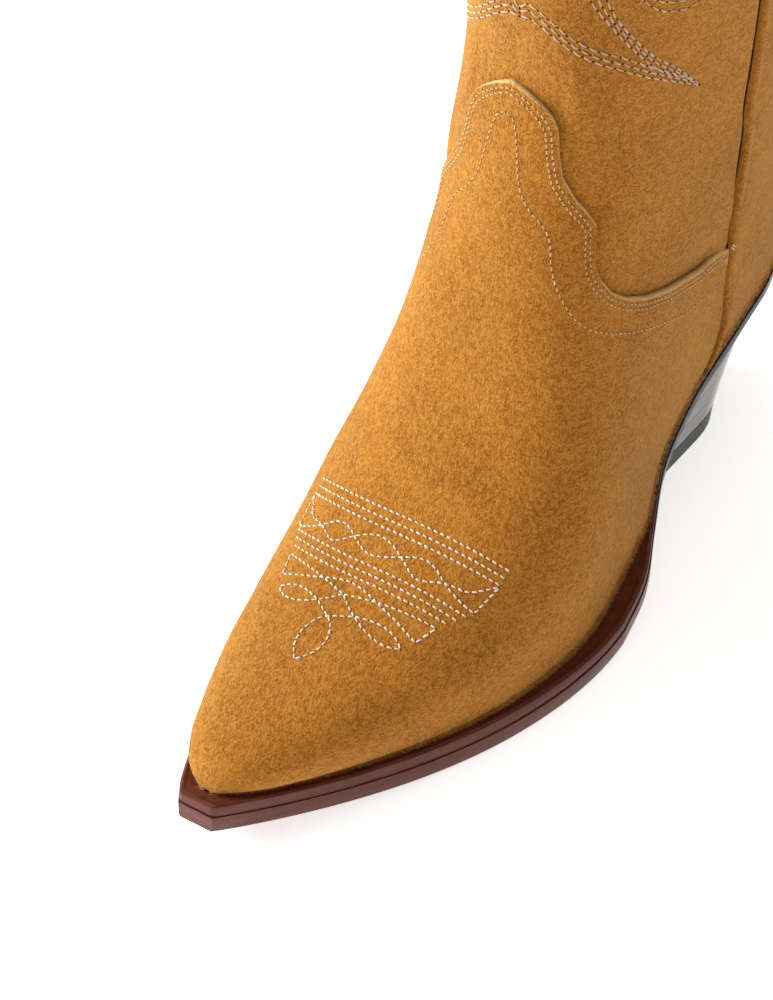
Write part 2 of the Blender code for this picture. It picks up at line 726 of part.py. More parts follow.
def make_straps(side, word):
    """The two sewn legs and the free loop of one pull strap."""
    at = upper(1.0, 0.42, side)
    low = upper(0.93, 0.42, side)
    lean = (at[0] - low[0]) / (at[2] - low[2])
    y = float(at[1])
    x = float(at[0])
    z = float(at[2])
    face = BINDING_SECTION[0][0] + 0.6 + STRAP_THICK / 2
    inner = BINDING_SECTION[5][0] - 1.4 - STRAP_THICK / 2
    pivot_z = z + 3.0
    legs = []
    for away in (face, inner):
        legs.append([(x + side * away + lean * t, z + t) for t in np.linspace(-STRAP_LEG, 1.0, 9)])
    strap_body("pull_strap_%s_outer_leg" % word, legs[0], y)
    strap_body("pull_strap_%s_inner_leg" % word, legs[1], y)
    half = (face - inner) / 2
    middle = x + side * (face + inner) / 2 + lean * 3
    loop = []
    for t in np.linspace(0, math.pi, 17):
        reach = math.copysign(abs(math.cos(t)) ** 0.8, math.cos(t))
        rise = math.sin(t) ** 0.7 * STRAP_RISE
        loop.append((middle + side * half * reach + lean * rise, pivot_z + rise))
    strap_body("pull_strap_%s_loop" % word, loop, y, (middle, y, pivot_z))


# Looks: colour and roughness.
SUEDE = ((0.42, 0.22, 0.07), 0.95)
SUEDE_DARK = ((0.34, 0.17, 0.05), 0.95)
SOLE_LEATHER = ((0.11, 0.03, 0.02), 0.35)
HEEL_LEATHER = ((0.04, 0.016, 0.012), 0.3)
RUBBER = ((0.02, 0.017, 0.016), 0.8)
CORK = ((0.33, 0.22, 0.12), 0.9)
STEEL = ((0.55, 0.55, 0.55), 0.35)
INSOLE_BOARD = ((0.5, 0.36, 0.22), 0.8)
LINING_LEATHER = ((0.62, 0.47, 0.31), 0.7)
STIFFENER = ((0.7, 0.66, 0.58), 0.8)


def main():
    for old in list(bpy.data.objects):
        bpy.data.objects.remove(old)
    make_outsole()
    make_welt()
    make_filler()
    make_shank()
    make_heel_rand()
    make_insole()
    make_sock_liner()
    make_heel()
    make_vamp()
    make_shaft_front()
    make_shaft_back()
    make_piping("side_piping_outer", 1)
    make_piping("side_piping_inner", -1)
    make_linings()
    make_toe_box()
    make_counter()
    make_binding()
    make_straps(1, "left")
    make_straps(-1, "right")


main()
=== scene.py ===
"""Visual model of the cowboy boot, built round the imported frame.

Shapes are worked out in millimetres, with the heel end of the sole at y = 0 and the toe at y = -LENGTH,
and go to metres in the frame's coordinates when a mesh is made. A place on the upper is given by s, which
runs from 0 at the toe to 1 at the top line, and v, which runs from 0 on the front line to 1 at the sole or
the back line: positive on the outer side of the foot and negative on the inner side.
"""

import math

import bpy
import numpy as np
from mathutils import Matrix, Vector


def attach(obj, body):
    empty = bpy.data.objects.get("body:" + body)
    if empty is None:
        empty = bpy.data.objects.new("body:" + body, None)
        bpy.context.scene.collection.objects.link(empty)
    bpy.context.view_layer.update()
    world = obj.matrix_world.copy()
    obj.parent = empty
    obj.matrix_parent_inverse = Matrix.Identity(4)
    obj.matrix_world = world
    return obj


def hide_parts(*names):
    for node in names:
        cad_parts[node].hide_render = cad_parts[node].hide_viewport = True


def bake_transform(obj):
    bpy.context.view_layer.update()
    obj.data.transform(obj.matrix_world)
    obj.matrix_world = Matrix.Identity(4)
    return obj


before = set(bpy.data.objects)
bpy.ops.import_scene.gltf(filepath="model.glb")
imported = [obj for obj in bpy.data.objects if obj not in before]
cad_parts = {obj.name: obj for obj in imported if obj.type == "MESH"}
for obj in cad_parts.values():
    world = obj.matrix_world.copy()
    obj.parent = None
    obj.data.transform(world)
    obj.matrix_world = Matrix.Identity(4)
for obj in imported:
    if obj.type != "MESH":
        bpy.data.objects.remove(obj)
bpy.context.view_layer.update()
RANDOM = np.random.default_rng(7)

# Driving sizes, in millimetres, as in the CAD.
LENGTH = 272.0
SHIFT = np.array([0.0, 133.83, 0.0])
TOE_SPRING = 8.2
HEEL_RISE = 51.7
GAP = 0.35
SNIP_HALF = 5.0
TOE_CENTRE = -8.06
BALL_HALF = 50.2
BALL_AT = 126.7
SEAT_FROM = 238.0
SEAT_POWER = 2.3
LAYER_GAP = 0.3
WELT_FROM = 0.4
WELT_END = 194.0
WELT_INSET = 0.4
WELT_WIDE = 11.0
TOE_DEEP = 15
RAND_WIDE = 9.0
RAND_HALF = 29.9
RAND_DEEP = 33.4
RAND_HALF_INSIDE = 21.3
RAND_DEEP_INSIDE = 31.3
HEEL_FRONT = 193.5
HEEL_BACK = 244.0
TOP_LIFT = 6.5

# Where the sole's finish turns dark, as Y in metres.
WAIST_FROM = 0.012
WAIST_TO = 0.045

LIFT = 6.6
LIFT_GAP = 0.25
SUEDE_THICK = 1.5
PANEL_THICK = 1.4
LINING_THICK = 0.9
SEAM_CLEAR = 0.0095
EDGE_ROWS = (1.9, 3.35)
STRAP_WIDTH = 26.0
STRAP_THICK = 1.8
STRAP_RISE = 17.0
STRAP_LEG = 38
STRAP_SEAM = 2.6

# Sections, as (across or away from the leather, up or out of it).
BINDING_SECTION = [(1.75, -5.0), (1.75, 0.9), (0.9, 1.6), (-3.0, 1.6), (-4.3, 0.9), (-4.3, -5.0)]
BINDING_SECTION += [(-3.4, -5.0), (-3.4, 0.4), (0.8, 0.4), (0.8, -5.0)]

# Camera and lights: places in metres, angles in degrees, power in watts.
CAMERA_PLACE = (0.34347, -0.59005, 0.64294)
CAMERA_TURN = 32.869
CAMERA_TILT = 42.254
CAMERA_ROLL = 0.17
CAMERA_LENS = 115.2
SOFTBOXES = (
    ("key_softbox", (-1.45, -0.80, 1.05), (0, -0.03, 0.1), (1.0, 1.0), 64, (0.88, 1.0, 1.08)),
    ("top_softbox", (-0.3, 0.5, 2.0), (0, 0, 0.1), (1.6, 1.6), 7, (1, 1, 1)),
    ("front_softbox", (0.7, -1.9, 1.0), (0, 0, 0.08), (1.4, 1.0), 3, (1, 1, 1)),
)

# Slices of the upper, from toe to top line: distance of the low point from the toe end, its height (-1 on the
# sole), y and height of the high point, middle x, half widths outside and inside, waist height, squareness.
ROWS = np.array(
    [
        (4.8, -1, -267.0, 0.6, -8.0, 1.2, 1.2, 0.30, 2.0),
        (5.6, -1, -266.2, 5.0, -8.0, 3.8, 3.8, 0.30, 2.0),
        (8.5, -1, -263.3, 9.5, -8.0, 8.2, 8.0, 0.32, 2.1),
        (15.0, -1, -257.0, 13.0, -7.6, 14.0, 13.0, 0.32, 2.2),
        (27.0, -1, -245.5, 17.5, -7.0, 21.5, 18.5, 0.32, 2.3),
        (46.0, -1, -226.5, 23.5, -6.0, 30.0, 25.5, 0.32, 2.3),
        (68.0, -1, -205.0, 31.5, -5.0, 38.5, 31.5, 0.31, 2.3),
        (91.0, -1, -182.0, 44.0, -4.0, 44.5, 36.0, 0.28, 2.2),
        (115.0, -1, -160.5, 67.0, -3.0, 46.5, 38.0, 0.26, 2.1),
        (142.0, -1, -146.5, 94.0, -2.5, 43.5, 35.3, 0.27, 2.0),
        (173.0, -1, -138.0, 112.0, -2.0, 38.5, 33.2, 0.33, 2.0),
        (206.0, -1, -134.0, 120.0, -1.5, 36.5, 34.0, 0.38, 2.1),
        (236.0, -1, -132.3, 121.5, -1.0, 36.0, 34.5, 0.42, 2.2),
        (256.0, -1, -131.6, 125.0, -0.5, 36.0, 35.0, 0.45, 2.2),
        (266.0, -1, -131.3, 130.0, 0.0, 36.2, 35.4, 0.47, 2.2),
        (270.8, -1, -131.1, 135.5, 0.0, 36.4, 35.8, 0.48, 2.2),
        (271.3, 66.0, -131.0, 199.0, 0.0, 36.7, 36.2, 0.49, 2.2),
        (271.5, 84.0, -131.0, 211.0, 0.0, 37.5, 37.2, 0.50, 2.2),
        (267.0, 116.0, -131.5, 227.0, 0.0, 38.8, 38.6, 0.50, 2.2),
        (262.5, 158.0, -132.5, 245.0, 0.0, 40.5, 40.5, 0.50, 2.2),
        (263.0, 204.0, -134.5, 265.0, 0.0, 42.5, 42.5, 0.50, 2.2),
        (267.0, 250.0, -137.5, 288.0, 0.0, 45.0, 45.0, 0.50, 2.2),
        (271.0, 288.0, -140.0, 308.0, 0.0, 47.0, 47.0, 0.50, 2.2),
        (274.5, 316.0, -142.0, 327.0, 0.0, 48.5, 48.5, 0.50, 2.2),
    ]
)
SEAT_END_ROW = 15
JUNCTION = 0.4917


# Curves


def curve(xs, ys, x):
    """A smooth curve through the points (xs, ys), read at x and held level past its ends."""
    xs = np.asarray(xs, float)
    ys = np.asarray(ys, float)
    x = np.clip(np.asarray(x, float), xs[0], xs[-1])
    slope = np.gradient(ys, xs) if len(xs) > 2 else np.full(2, (ys[1] - ys[0]) / (xs[1] - xs[0]))
    i = np.clip(np.searchsorted(xs, x, side="right") - 1, 0, len(xs) - 2)
    step = xs[i + 1] - xs[i]
    t = (x - xs[i]) / step
    start = (2 * t**3 - 3 * t**2 + 1) * ys[i] + (t**3 - 2 * t**2 + t) * step * slope[i]
    end = (-2 * t**3 + 3 * t**2) * ys[i + 1] + (t**3 - t**2) * step * slope[i + 1]
    return start + end


def ease(x, start, end):
    """0 before start, 1 after end, smooth between."""
    t = np.clip((np.asarray(x, float) - start) / (end - start), 0, 1)
    return t * t * (3 - 2 * t)


def path(points, per_step=14):
    """A smooth line through given points, as many columns as they have."""
    points = np.asarray(points, float)
    steps = np.linalg.norm(np.diff(points, axis=0) * [350.0, 120.0], axis=1)
    at = np.concatenate([[0], np.cumsum(np.sqrt(steps))])
    dense = np.linspace(0, at[-1], per_step * (len(points) - 1) + 1)
    return np.stack([curve(at, points[:, k], dense) for k in range(points.shape[1])], 1)


# The sole, read at q, the distance from its toe end


def sole_bottom(q):
    q = np.asarray(q, float)
    spring = TOE_SPRING * np.clip((85 - q) / 85, 0, 1) ** 2
    arch = curve([100, 117, 134, 169, 203, 238, 272], [0, 0.7, 3.4, 14.2, 29, 41.6, HEEL_RISE], q)
    return spring + arch * (q > 100)


def sole_thick(q):
    return curve([0, 110, 140, 190, 272], [9.2, 9.0, 7.8, 6.2, 5.0], q)


def outsole_thick(q):
    return curve([0, 110, 150, 190, 272], [5.4, 5.3, 4.7, 4.0, 3.3], q)


def sole_top(q):
    return sole_bottom(q) + sole_thick(q)


def above_outsole(q):
    return sole_bottom(q) + outsole_thick(q) + LAYER_GAP


def seat_curve(q, cut):
    """How the sole narrows to nothing round the back of the heel, cut back by cut."""
    reach = np.clip(q - SEAT_FROM, 0, LENGTH - SEAT_FROM) / (LENGTH - SEAT_FROM - cut)
    return np.sqrt(np.clip(1 - reach**SEAT_POWER, 0, 1))


def outer_edge(q):
    q = np.asarray(q, float)
    swell = BALL_HALF - TOE_CENTRE - SNIP_HALF
    front = np.sin(math.pi / 2 * np.clip(q / BALL_AT, 0, 1)) ** 0.95
    back = curve([BALL_AT, 144, 161, 178, 195, 225, 240], [BALL_HALF, 47.2, 40, 33.2, 30.6, 30.4, 30.5], q)
    return np.where(q < BALL_AT, TOE_CENTRE + SNIP_HALF + swell * front, back)


def inner_edge(q):
    at = [0, 4, 10, 20, 35, 60, 90, 105, 125, 140, 170, 195, 225, 240]
    x = [-14, -16.6, -19.6, -23.8, -29.3, -36.5, -42.3, -43, -40.5, -36, -28.5, -26.5, -29.3, -30]
    return curve(at, x, q)


def edge(q, side):
    """X of the sole's edge on side +1 (outer) or -1 (inner)."""
    x = outer_edge(q) if side > 0 else inner_edge(q)
    return x * seat_curve(np.asarray(q, float), 0.0)


# The upper's surface, as a fine table that is smoothed and then read everywhere


def row_positions():
    q = ROWS[:, 0]
    on_sole = ROWS[:, 1] < 0
    floor = sole_top(q) + GAP
    low = np.where(on_sole, floor, ROWS[:, 1])
    high = np.where(on_sole, floor + ROWS[:, 3], ROWS[:, 3])
    steps = np.hypot(np.diff(q + ROWS[:, 2]), np.diff(low + high)) / 2
    s = np.concatenate([[0], np.cumsum(steps)])
    return s / s[-1], low, high


S, LOW, HIGH = row_positions()
SEAT_END = S[SEAT_END_ROW]
SEAM_FOOT = S[11]


def formula(s, u, side):
    """A point of the upper's outer face, u from 0 at the sole or back line to 1 on the front line."""
    s, u = np.broadcast_arrays(np.asarray(s, float), np.asarray(u, float))
    q = curve(S, ROWS[:, 0], s)
    low = curve(S, LOW, s)
    front = curve(S, ROWS[:, 2], s)
    high = curve(S, HIGH, s)
    middle = curve(S, ROWS[:, 4], s)
    wide = curve(S, ROWS[:, 5 if side > 0 else 6], s)
    waist = curve(S, ROWS[:, 7], s)
    square = curve(S, ROWS[:, 8], s)
    inset = curve([0, 60, 120, 160, 200, 240, 272], [4.6, 4.2, 3.8, 2.4, 0.9, 0.6, 0.9], q)
    along = np.minimum(q, SEAT_FROM)
    round_toe = np.sqrt(np.clip(1 - (np.clip(15 - q, 0, 15) / 10.4) ** 2, 0, 1))
    reach = (side * edge(along, side) - inset - side * middle) * round_toe
    reach = np.where(s >= SEAT_END, 0, np.maximum(reach * seat_curve(q, 1.0), 0))
    tuck = 1 - (np.minimum(reach, wide) / wide) ** 2
    lower = np.clip(u / 0.42, 0, 1)
    fall = (1 - tuck**2) * (1 - lower) + tuck**2 * np.cos(math.pi / 2 * lower)
    angle = np.clip((u - 0.42) / 0.58, 0, 1) * math.pi / 2
    x_low = wide * np.sqrt(np.clip(1 - tuck * fall**2, 0, 1))
    x_high = wide * np.cos(angle) ** (2 / square)
    x = np.where(u < 0.42, x_low, x_high)
    rise = np.where(u < 0.42, waist * (1 - fall), waist + (1 - waist) * np.sin(angle) ** (2 / square))
    y = (q - LENGTH) * (1 - rise) + front * rise
    z = low * (1 - rise) + high * rise
    return np.stack([middle + side * x, y, z], -1)


TABLE_ROWS = 561
TABLE_COLUMNS = 141
PAD = 2


def with_border(table):
    """The table with PAD more rows and columns all round: past a middle line it goes on to the other side."""
    above = (np.linspace(0, 1, TABLE_ROWS) >= SEAT_END)[:, None, None]
    sides = []
    for own, other in ((table[0], table[1]), (table[1], table[0])):
        near = []
        for k in range(PAD, 0, -1):
            straight = own[:, :1] * (1 + k) - own[:, 1:2] * k
            near.append(np.where(above, other[:, k : k + 1], straight))
        far = [other[:, -1 - k][:, None] for k in range(1, PAD + 1)]
        sides.append(np.concatenate(near + [own] + far, 1))
    wide = np.stack(sides)
    first = [wide[:, :1] * (1 + k) - wide[:, 1:2] * k for k in range(PAD, 0, -1)]
    last = [wide[:, -1:] * (1 + k) - wide[:, -2:-1] * k for k in range(1, PAD + 1)]
    return np.concatenate(first + [wide] + last, 1)


def smoothed(table, weight, rounds):
    """Evens out creases without shrinking the shape, by weight."""
    for _ in range(rounds):
        for amount in (0.6, -0.62):
            wide = with_border(table)
            middle = wide[:, PAD:-PAD, PAD:-PAD]
            mean = (wide[:, PAD - 1 : -PAD - 1, PAD:-PAD] + wide[:, PAD + 1 : -PAD + 1, PAD:-PAD]) / 4
            mean += (wide[:, PAD:-PAD, PAD - 1 : -PAD - 1] + wide[:, PAD:-PAD, PAD + 1 : -PAD + 1]) / 4
            table = middle + amount * weight * (mean - middle)
    return table


def facing(table):
    """The direction out of the surface at every point of a bordered table."""
    along = np.gradient(table, axis=1)
    across = np.gradient(table, axis=2)
    out = np.cross(along, across) * np.array([1.0, -1.0])[:, None, None, None]
    return out / np.maximum(np.linalg.norm(out, axis=-1, keepdims=True), 1e-9)


def make_tables():
    s = np.linspace(0, 1, TABLE_ROWS)[:, None]
    u = np.linspace(0, 1, TABLE_COLUMNS)[None, :]
    table = np.stack([formula(s, u, 1), formula(s, u, -1)])
    heel = ease(s, 0.43, 0.50) * (1 - ease(s, 0.62, 0.72)) * (1 - ease(u, 0.6, 0.85))
    heel = np.where((s < SEAT_END + 0.004) & (u < 0.004), 0, heel)
    table = smoothed(table, heel[None, :, :, None], 70)
    wide = with_border(table)
    out = facing(wide)
    x, y, z = np.moveaxis(wide, -1, 0)
    wave = np.sin(x / 9.0 + 0.7 * np.sin(y / 17.0)) * np.sin(y / 13.0 + z / 19.0 + np.sin(x / 15.0))
    wave += 0.5 * np.sin(y / 6.5 + 1.3) * np.sin(z / 7.5 + x / 8.0)
    level = np.linspace(0, 1, TABLE_ROWS)
    calm = ease(level, 0.02, 0.12) * (1 - 0.8 * ease(level, 0.93, 0.97))
    strength = 0.28 * calm[:, None] * ease(np.linspace(0, 1, TABLE_COLUMNS), 0.02, 0.2)[None, :]
    strength = np.pad(strength, PAD, mode="edge")
    wide = wide + out * (wave * strength)[..., None]
    return wide, facing(wide)


SURFACE, OUT = make_tables()


def weights(f):
    """Catmull-Rom weights of four neighbouring samples."""
    return np.stack(
        [
            -0.5 * f + f**2 - 0.5 * f**3,
            1 - 2.5 * f**2 + 1.5 * f**3,
            0.5 * f + 2 * f**2 - 1.5 * f**3,
            -0.5 * f**2 + 0.5 * f**3,
        ]
    )


def read(table, s, v):
    s, v = np.broadcast_arrays(np.asarray(s, float), np.asarray(v, float))
    side = (v.ravel() < 0).astype(int)
    row = np.clip(s.ravel(), -0.001, 1.001) * (TABLE_ROWS - 1) + PAD
    column = np.clip(1 - np.abs(v.ravel()), -0.005, 1) * (TABLE_COLUMNS - 1) + PAD
    i = np.clip(np.floor(row).astype(int), 1, table.shape[1] - 3)
    j = np.clip(np.floor(column).astype(int), 1, table.shape[2] - 3)
    down = weights(row - i)
    over = weights(column - j)
    total = 0
    for a in range(4):
        for b in range(4):
            total = total + (down[a] * over[b])[:, None] * table[side, i + a - 1, j + b - 1]
    return total.reshape(s.shape + (3,))


def normal(s, v):
    out = read(OUT, s, v)
    return out / np.linalg.norm(out, axis=-1, keepdims=True)


def on_upper(s, v, lift=0.0):
    """A point this far outside the upper's outer face; a negative lift is below it."""
    s, v = np.broadcast_arrays(np.asarray(s, float), np.asarray(v, float))
    return read(SURFACE, s, v) + normal(s, v) * np.broadcast_to(lift, s.shape)[..., None]


# Lines drawn on the upper

EDGE_U = [0, 0.04, 0.13, 0.253, 0.325, 0.404, 0.446, 0.494, 0.549, 0.604, 0.649, 0.684]
EDGE_U += [0.705, 0.716, 0.724, 0.75, 0.787, 0.828, 0.848, 0.862, 0.882, 0.912, 0.955, 1.0]
EDGE_S = [0.4443, 0.4549, 0.465, 0.4772, 0.4917, 0.4727, 0.4561, 0.4372, 0.4182, 0.4027, 0.3938, 0.3915]
EDGE_S += [0.3938, 0.404, 0.4175, 0.4190, 0.4192, 0.425, 0.4400, 0.4594, 0.4683, 0.4750, 0.4816, 0.4875]
SEAM_S = [0.4443, 0.4549, 0.465, 0.4772, 0.4917, 0.505, 0.5228, 0.545, 0.5595, 0.605, 0.655, 0.75, 1.0]
SEAM_U = [0.0, 0.04, 0.13, 0.253, 0.325, 0.375, 0.412, 0.428, 0.430, 0.426, 0.421, 0.42, 0.42]
JUNCTION_U = 0.325


def vamp_edge(u):
    """The s of the vamp's back edge: up the side seam, along the scallop, up to the tip of the tongue."""
    u = np.asarray(u, float)
    fine = np.linspace(0, 1, 2001)
    line = np.interp(fine, EDGE_U, EDGE_S)
    kernel = np.hanning(11)
    soft = np.convolve(np.pad(line, 5, mode="edge"), kernel / kernel.sum(), "valid")
    near = np.exp(-(((fine - JUNCTION_U) / 0.006) ** 2))
    return np.interp(u, fine, line * near + soft * (1 - near))


def seam(s):
    return curve(SEAM_S, SEAM_U, s)


# Meshes


def quads_of(rows, columns, close_rows=False, close_columns=False):
    """Quads of a grid of points, as an array of corner numbers."""
    i = np.arange(rows if close_rows else rows - 1)[:, None]
    j = np.arange(columns if close_columns else columns - 1)[None, :]
    i2 = (i + 1) % rows
    j2 = (j + 1) % columns
    corners = (i * columns + j, i * columns + j2, i2 * columns + j2, i2 * columns + j)
    return np.stack(np.broadcast_arrays(*corners), -1).reshape(-1, 4)


def volume(points, faces):
    """Signed volume of a closed mesh."""
    total = 0.0
    for face in faces:
        corners = points[np.asarray(face)]
        first = corners[..., 0, :]
        for k in range(1, corners.shape[-2] - 1):
            cross = np.cross(corners[..., k, :], corners[..., k + 1, :])
            total += float((first * cross).sum())
    return total


def make_piece(name, points, groups, looks, slot="", body="boot", stands_for=(), values=None, sharp=35):
    """One mesh object. Groups are (faces, index of the look), faces an array or a list of corner tuples."""
    points = np.asarray(points, float)
    flat = [np.asarray(faces) for faces, _ in groups if len(faces)]
    turned = volume(points, flat) < 0
    faces = []
    index = []
    for part, look in groups:
        rows = [list(face) for face in (part.tolist() if isinstance(part, np.ndarray) else part)]
        faces += [row[::-1] for row in rows] if turned else rows
        index += [look] * len(rows)
    mesh = bpy.data.meshes.new(name)
    mesh.from_pydata(((points + SHIFT) / 1000).tolist(), [], faces)
    for look in looks:
        mesh.materials.append(look)
    mesh.polygons.foreach_set("material_index", np.array(index, np.int32))
    mesh.shade_smooth()
    if sharp:
        mesh.set_sharp_from_angle(angle=math.radians(sharp))
    for key, value in (values or {}).items():
        attribute = mesh.attributes.new(key, "FLOAT", "POINT")
        attribute.data.foreach_set("value", np.asarray(value, np.float32).ravel())
    made = bpy.data.objects.new(name, mesh)
    bpy.context.scene.collection.objects.link(made)
    if body:
        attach(made, body)
    if stands_for:
        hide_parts(*stands_for)
    return made


def grid_walls(rows, columns, count):
    """Quads that close the four borders between a grid and its copy count points further on."""
    corner = np.arange(rows * columns).reshape(rows, columns)
    lines = [corner[0], corner[:, -1], corner[-1, ::-1], corner[::-1, 0]]
    return [np.stack([line[1:], line[:-1], line[:-1] + count, line[1:] + count], 1) for line in lines]


def skin_piece(name, s, v, lift, below, looks, walls=(0, 0, 0, 0), values=None, **more):
    """A closed skin over a grid of places on the upper: lift is its outer face and below its inner face."""
    rows, columns = s.shape
    outer = on_upper(s, v, lift).reshape(-1, 3)
    inner = on_upper(s, v, below).reshape(-1, 3)
    count = len(outer)
    face = quads_of(rows, columns)
    groups = [(face, 0), (face[:, ::-1] + count, 0)]
    groups += list(zip(grid_walls(rows, columns, count), walls))
    doubled = {key: np.tile(value.ravel(), 2) for key, value in (values or {}).items()}
    return make_piece(name, np.concatenate([outer, inner]), groups, looks, values=doubled, **more)


# Materials


def node(tree, kind, settings=None, **values):
    """Adds a shader node. A value that is a socket is linked, any other is set."""
    made = tree.nodes.new(kind)
    for key, value in (settings or {}).items():
        setattr(made, key, value)
    for key, value in values.items():
        socket = made.inputs[key.replace("_", " ")]
        if isinstance(value, bpy.types.NodeSocket):
            tree.links.new(value, socket)
        else:
            socket.default_value = value
    return made


def new_look(name, **values):
    """A material with a Principled shader whose sockets are set from the values."""
    made = bpy.data.materials.new(name)
    made.use_nodes = True
    shader = made.node_tree.nodes["Principled BSDF"]
    for key, value in values.items():
        shader.inputs[key.replace("_", " ")].default_value = value
    return made, made.node_tree, shader


def noise(tree, scale, detail=2.0, roughness=0.5, stretch=(1, 1, 1), distortion=0.0):
    """A noise value over the object, scale in features a metre."""
    place = node(tree, "ShaderNodeTexCoord").outputs["Object"]
    mapped = node(tree, "ShaderNodeMapping", Vector=place, Scale=stretch).outputs[0]
    made = node(
        tree, "ShaderNodeTexNoise", Vector=mapped, Scale=scale, Detail=detail, Roughness=roughness,
        Distortion=distortion,
    )
    return made.outputs[0]


def spread(tree, value, low, high, to_low=0.0, to_high=1.0):
    made = node(tree, "ShaderNodeMapRange", Value=value)
    made.inputs["From Min"].default_value = low
    made.inputs["From Max"].default_value = high
    made.inputs["To Min"].default_value = to_low
    made.inputs["To Max"].default_value = to_high
    return made.outputs[0]


def mix(tree, amount, first, second, blend="MIX"):
    made = node(tree, "ShaderNodeMixRGB", {"blend_type": blend}, Fac=amount, Color1=first, Color2=second)
    return made.outputs[0]


def maths(tree, operation, first, second=0.0):
    made = tree.nodes.new("ShaderNodeMath")
    made.operation = operation
    for socket, value in zip(made.inputs, (first, second)):
        if isinstance(value, bpy.types.NodeSocket):
            tree.links.new(value, socket)
        else:
            socket.default_value = value
    return made.outputs[0]


def bumped(tree, shader, height, strength, distance):
    made = node(tree, "ShaderNodeBump", Strength=strength, Distance=distance, Height=height)
    tree.links.new(made.outputs[0], shader.inputs["Normal"])


def suede_look(name, dark, middle, light, raw):
    """Napped leather: cloudy colour, short brushed nap, soft sheen, paler where a cut edge shows."""
    made, tree, shader = new_look(
        name, Roughness=0.95, Specular_IOR_Level=0.10, Sheen_Weight=0.30, Sheen_Roughness=0.45,
        Sheen_Tint=(1.0, 0.86, 0.42, 1),
    )
    cloud = spread(tree, noise(tree, 26, 4, 0.55, distortion=0.6), 0.40, 0.60)
    brushed = spread(tree, noise(tree, 85, 3, 0.6, (1.0, 0.6, 0.6), 0.4), 0.34, 0.68)
    nap = noise(tree, 820, 3, 0.65, (1.0, 0.6, 0.8), 0.4)
    grain = noise(tree, 2300, 2, 0.7, (1.0, 0.6, 0.8))
    patch = mix(tree, 0.42, cloud, brushed)
    base = mix(tree, patch, dark, middle)
    fine = spread(tree, mix(tree, 0.6, nap, grain), 0.40, 0.62)
    coloured = mix(tree, maths(tree, "MULTIPLY", fine, 0.62), base, light)
    shade = spread(tree, mix(tree, 0.4, grain, nap), 0.38, 0.56, 0.25, 1.0)
    coloured = mix(tree, 1.0, coloured, mix(tree, shade, (0.66, 0.50, 0.28, 1), (1, 1, 1, 1)), "MULTIPLY")
    worn = node(tree, "ShaderNodeAttribute", {"attribute_name": "raw"}).outputs["Fac"]
    fuzzy = maths(tree, "MULTIPLY", worn, spread(tree, grain, 0.25, 0.5, 0.6, 1.0))
    coloured = mix(tree, fuzzy, coloured, raw)
    tree.links.new(coloured, shader.inputs["Base Color"])
    tree.links.new(spread(tree, nap, 0.3, 0.7, 0.86, 1.0), shader.inputs["Roughness"])
    height = maths(tree, "ADD", maths(tree, "MULTIPLY", nap, 0.7), maths(tree, "MULTIPLY", grain, 0.5))
    bumped(tree, shader, height, 0.95, 0.0011)
    return made


def raw_look():
    """The cut edge of suede: pale, fibrous."""
    made, tree, shader = new_look("raw_suede_edge", Roughness=0.95, Specular_IOR_Level=0.1, Sheen_Weight=0.3)
    fibre = noise(tree, 1300, 3, 0.7)
    colour = mix(tree, spread(tree, fibre, 0.3, 0.7), (0.36, 0.17, 0.045, 1), (0.74, 0.46, 0.17, 1))
    tree.links.new(colour, shader.inputs["Base Color"])
    bumped(tree, shader, fibre, 0.8, 0.0006)
    return made


def thread_look(name, dark, light):
    """Polyester thread, slightly shiny, with its twist as fine bands."""
    made, tree, shader = new_look(
        name, Roughness=0.55, Specular_IOR_Level=0.4, Sheen_Weight=0.25, Sheen_Roughness=0.4
    )
    tone = noise(tree, 260, 2)
    colour = mix(tree, spread(tree, tone, 0.3, 0.7), dark, light)
    strand = noise(tree, 2600, 2, 0.6)
    shaded = mix(tree, 0.5, colour, (0.42, 0.28, 0.16, 1))
    colour = mix(tree, spread(tree, strand, 0.25, 0.5), shaded, colour)
    tree.links.new(colour, shader.inputs["Base Color"])
    bumped(tree, shader, strand, 0.5, 0.0002)
    return made


def tan_thread_look():
    """Sand thread close to the suede's colour."""
    made, tree, shader = new_look("sand_thread", Roughness=0.7, Specular_IOR_Level=0.3, Sheen_Weight=0.3)
    tone = noise(tree, 1100, 2)
    colour = mix(tree, spread(tree, tone, 0.3, 0.7), (0.50, 0.29, 0.11, 1), (0.74, 0.50, 0.24, 1))
    tree.links.new(colour, shader.inputs["Base Color"])
    bumped(tree, shader, tone, 0.5, 0.0002)
    return made


# Painted shade: a near-black colour that stands for the shadow inside a needle hole.
def hole_shade_look():
    made, tree, shader = new_look("needle_hole_painted_shade", Roughness=1.0, Specular_IOR_Level=0.05)
    tone = noise(tree, 900, 2)
    colour = mix(tree, tone, (0.03, 0.014, 0.004, 1), (0.09, 0.04, 0.012, 1))
    tree.links.new(colour, shader.inputs["Base Color"])
    return made


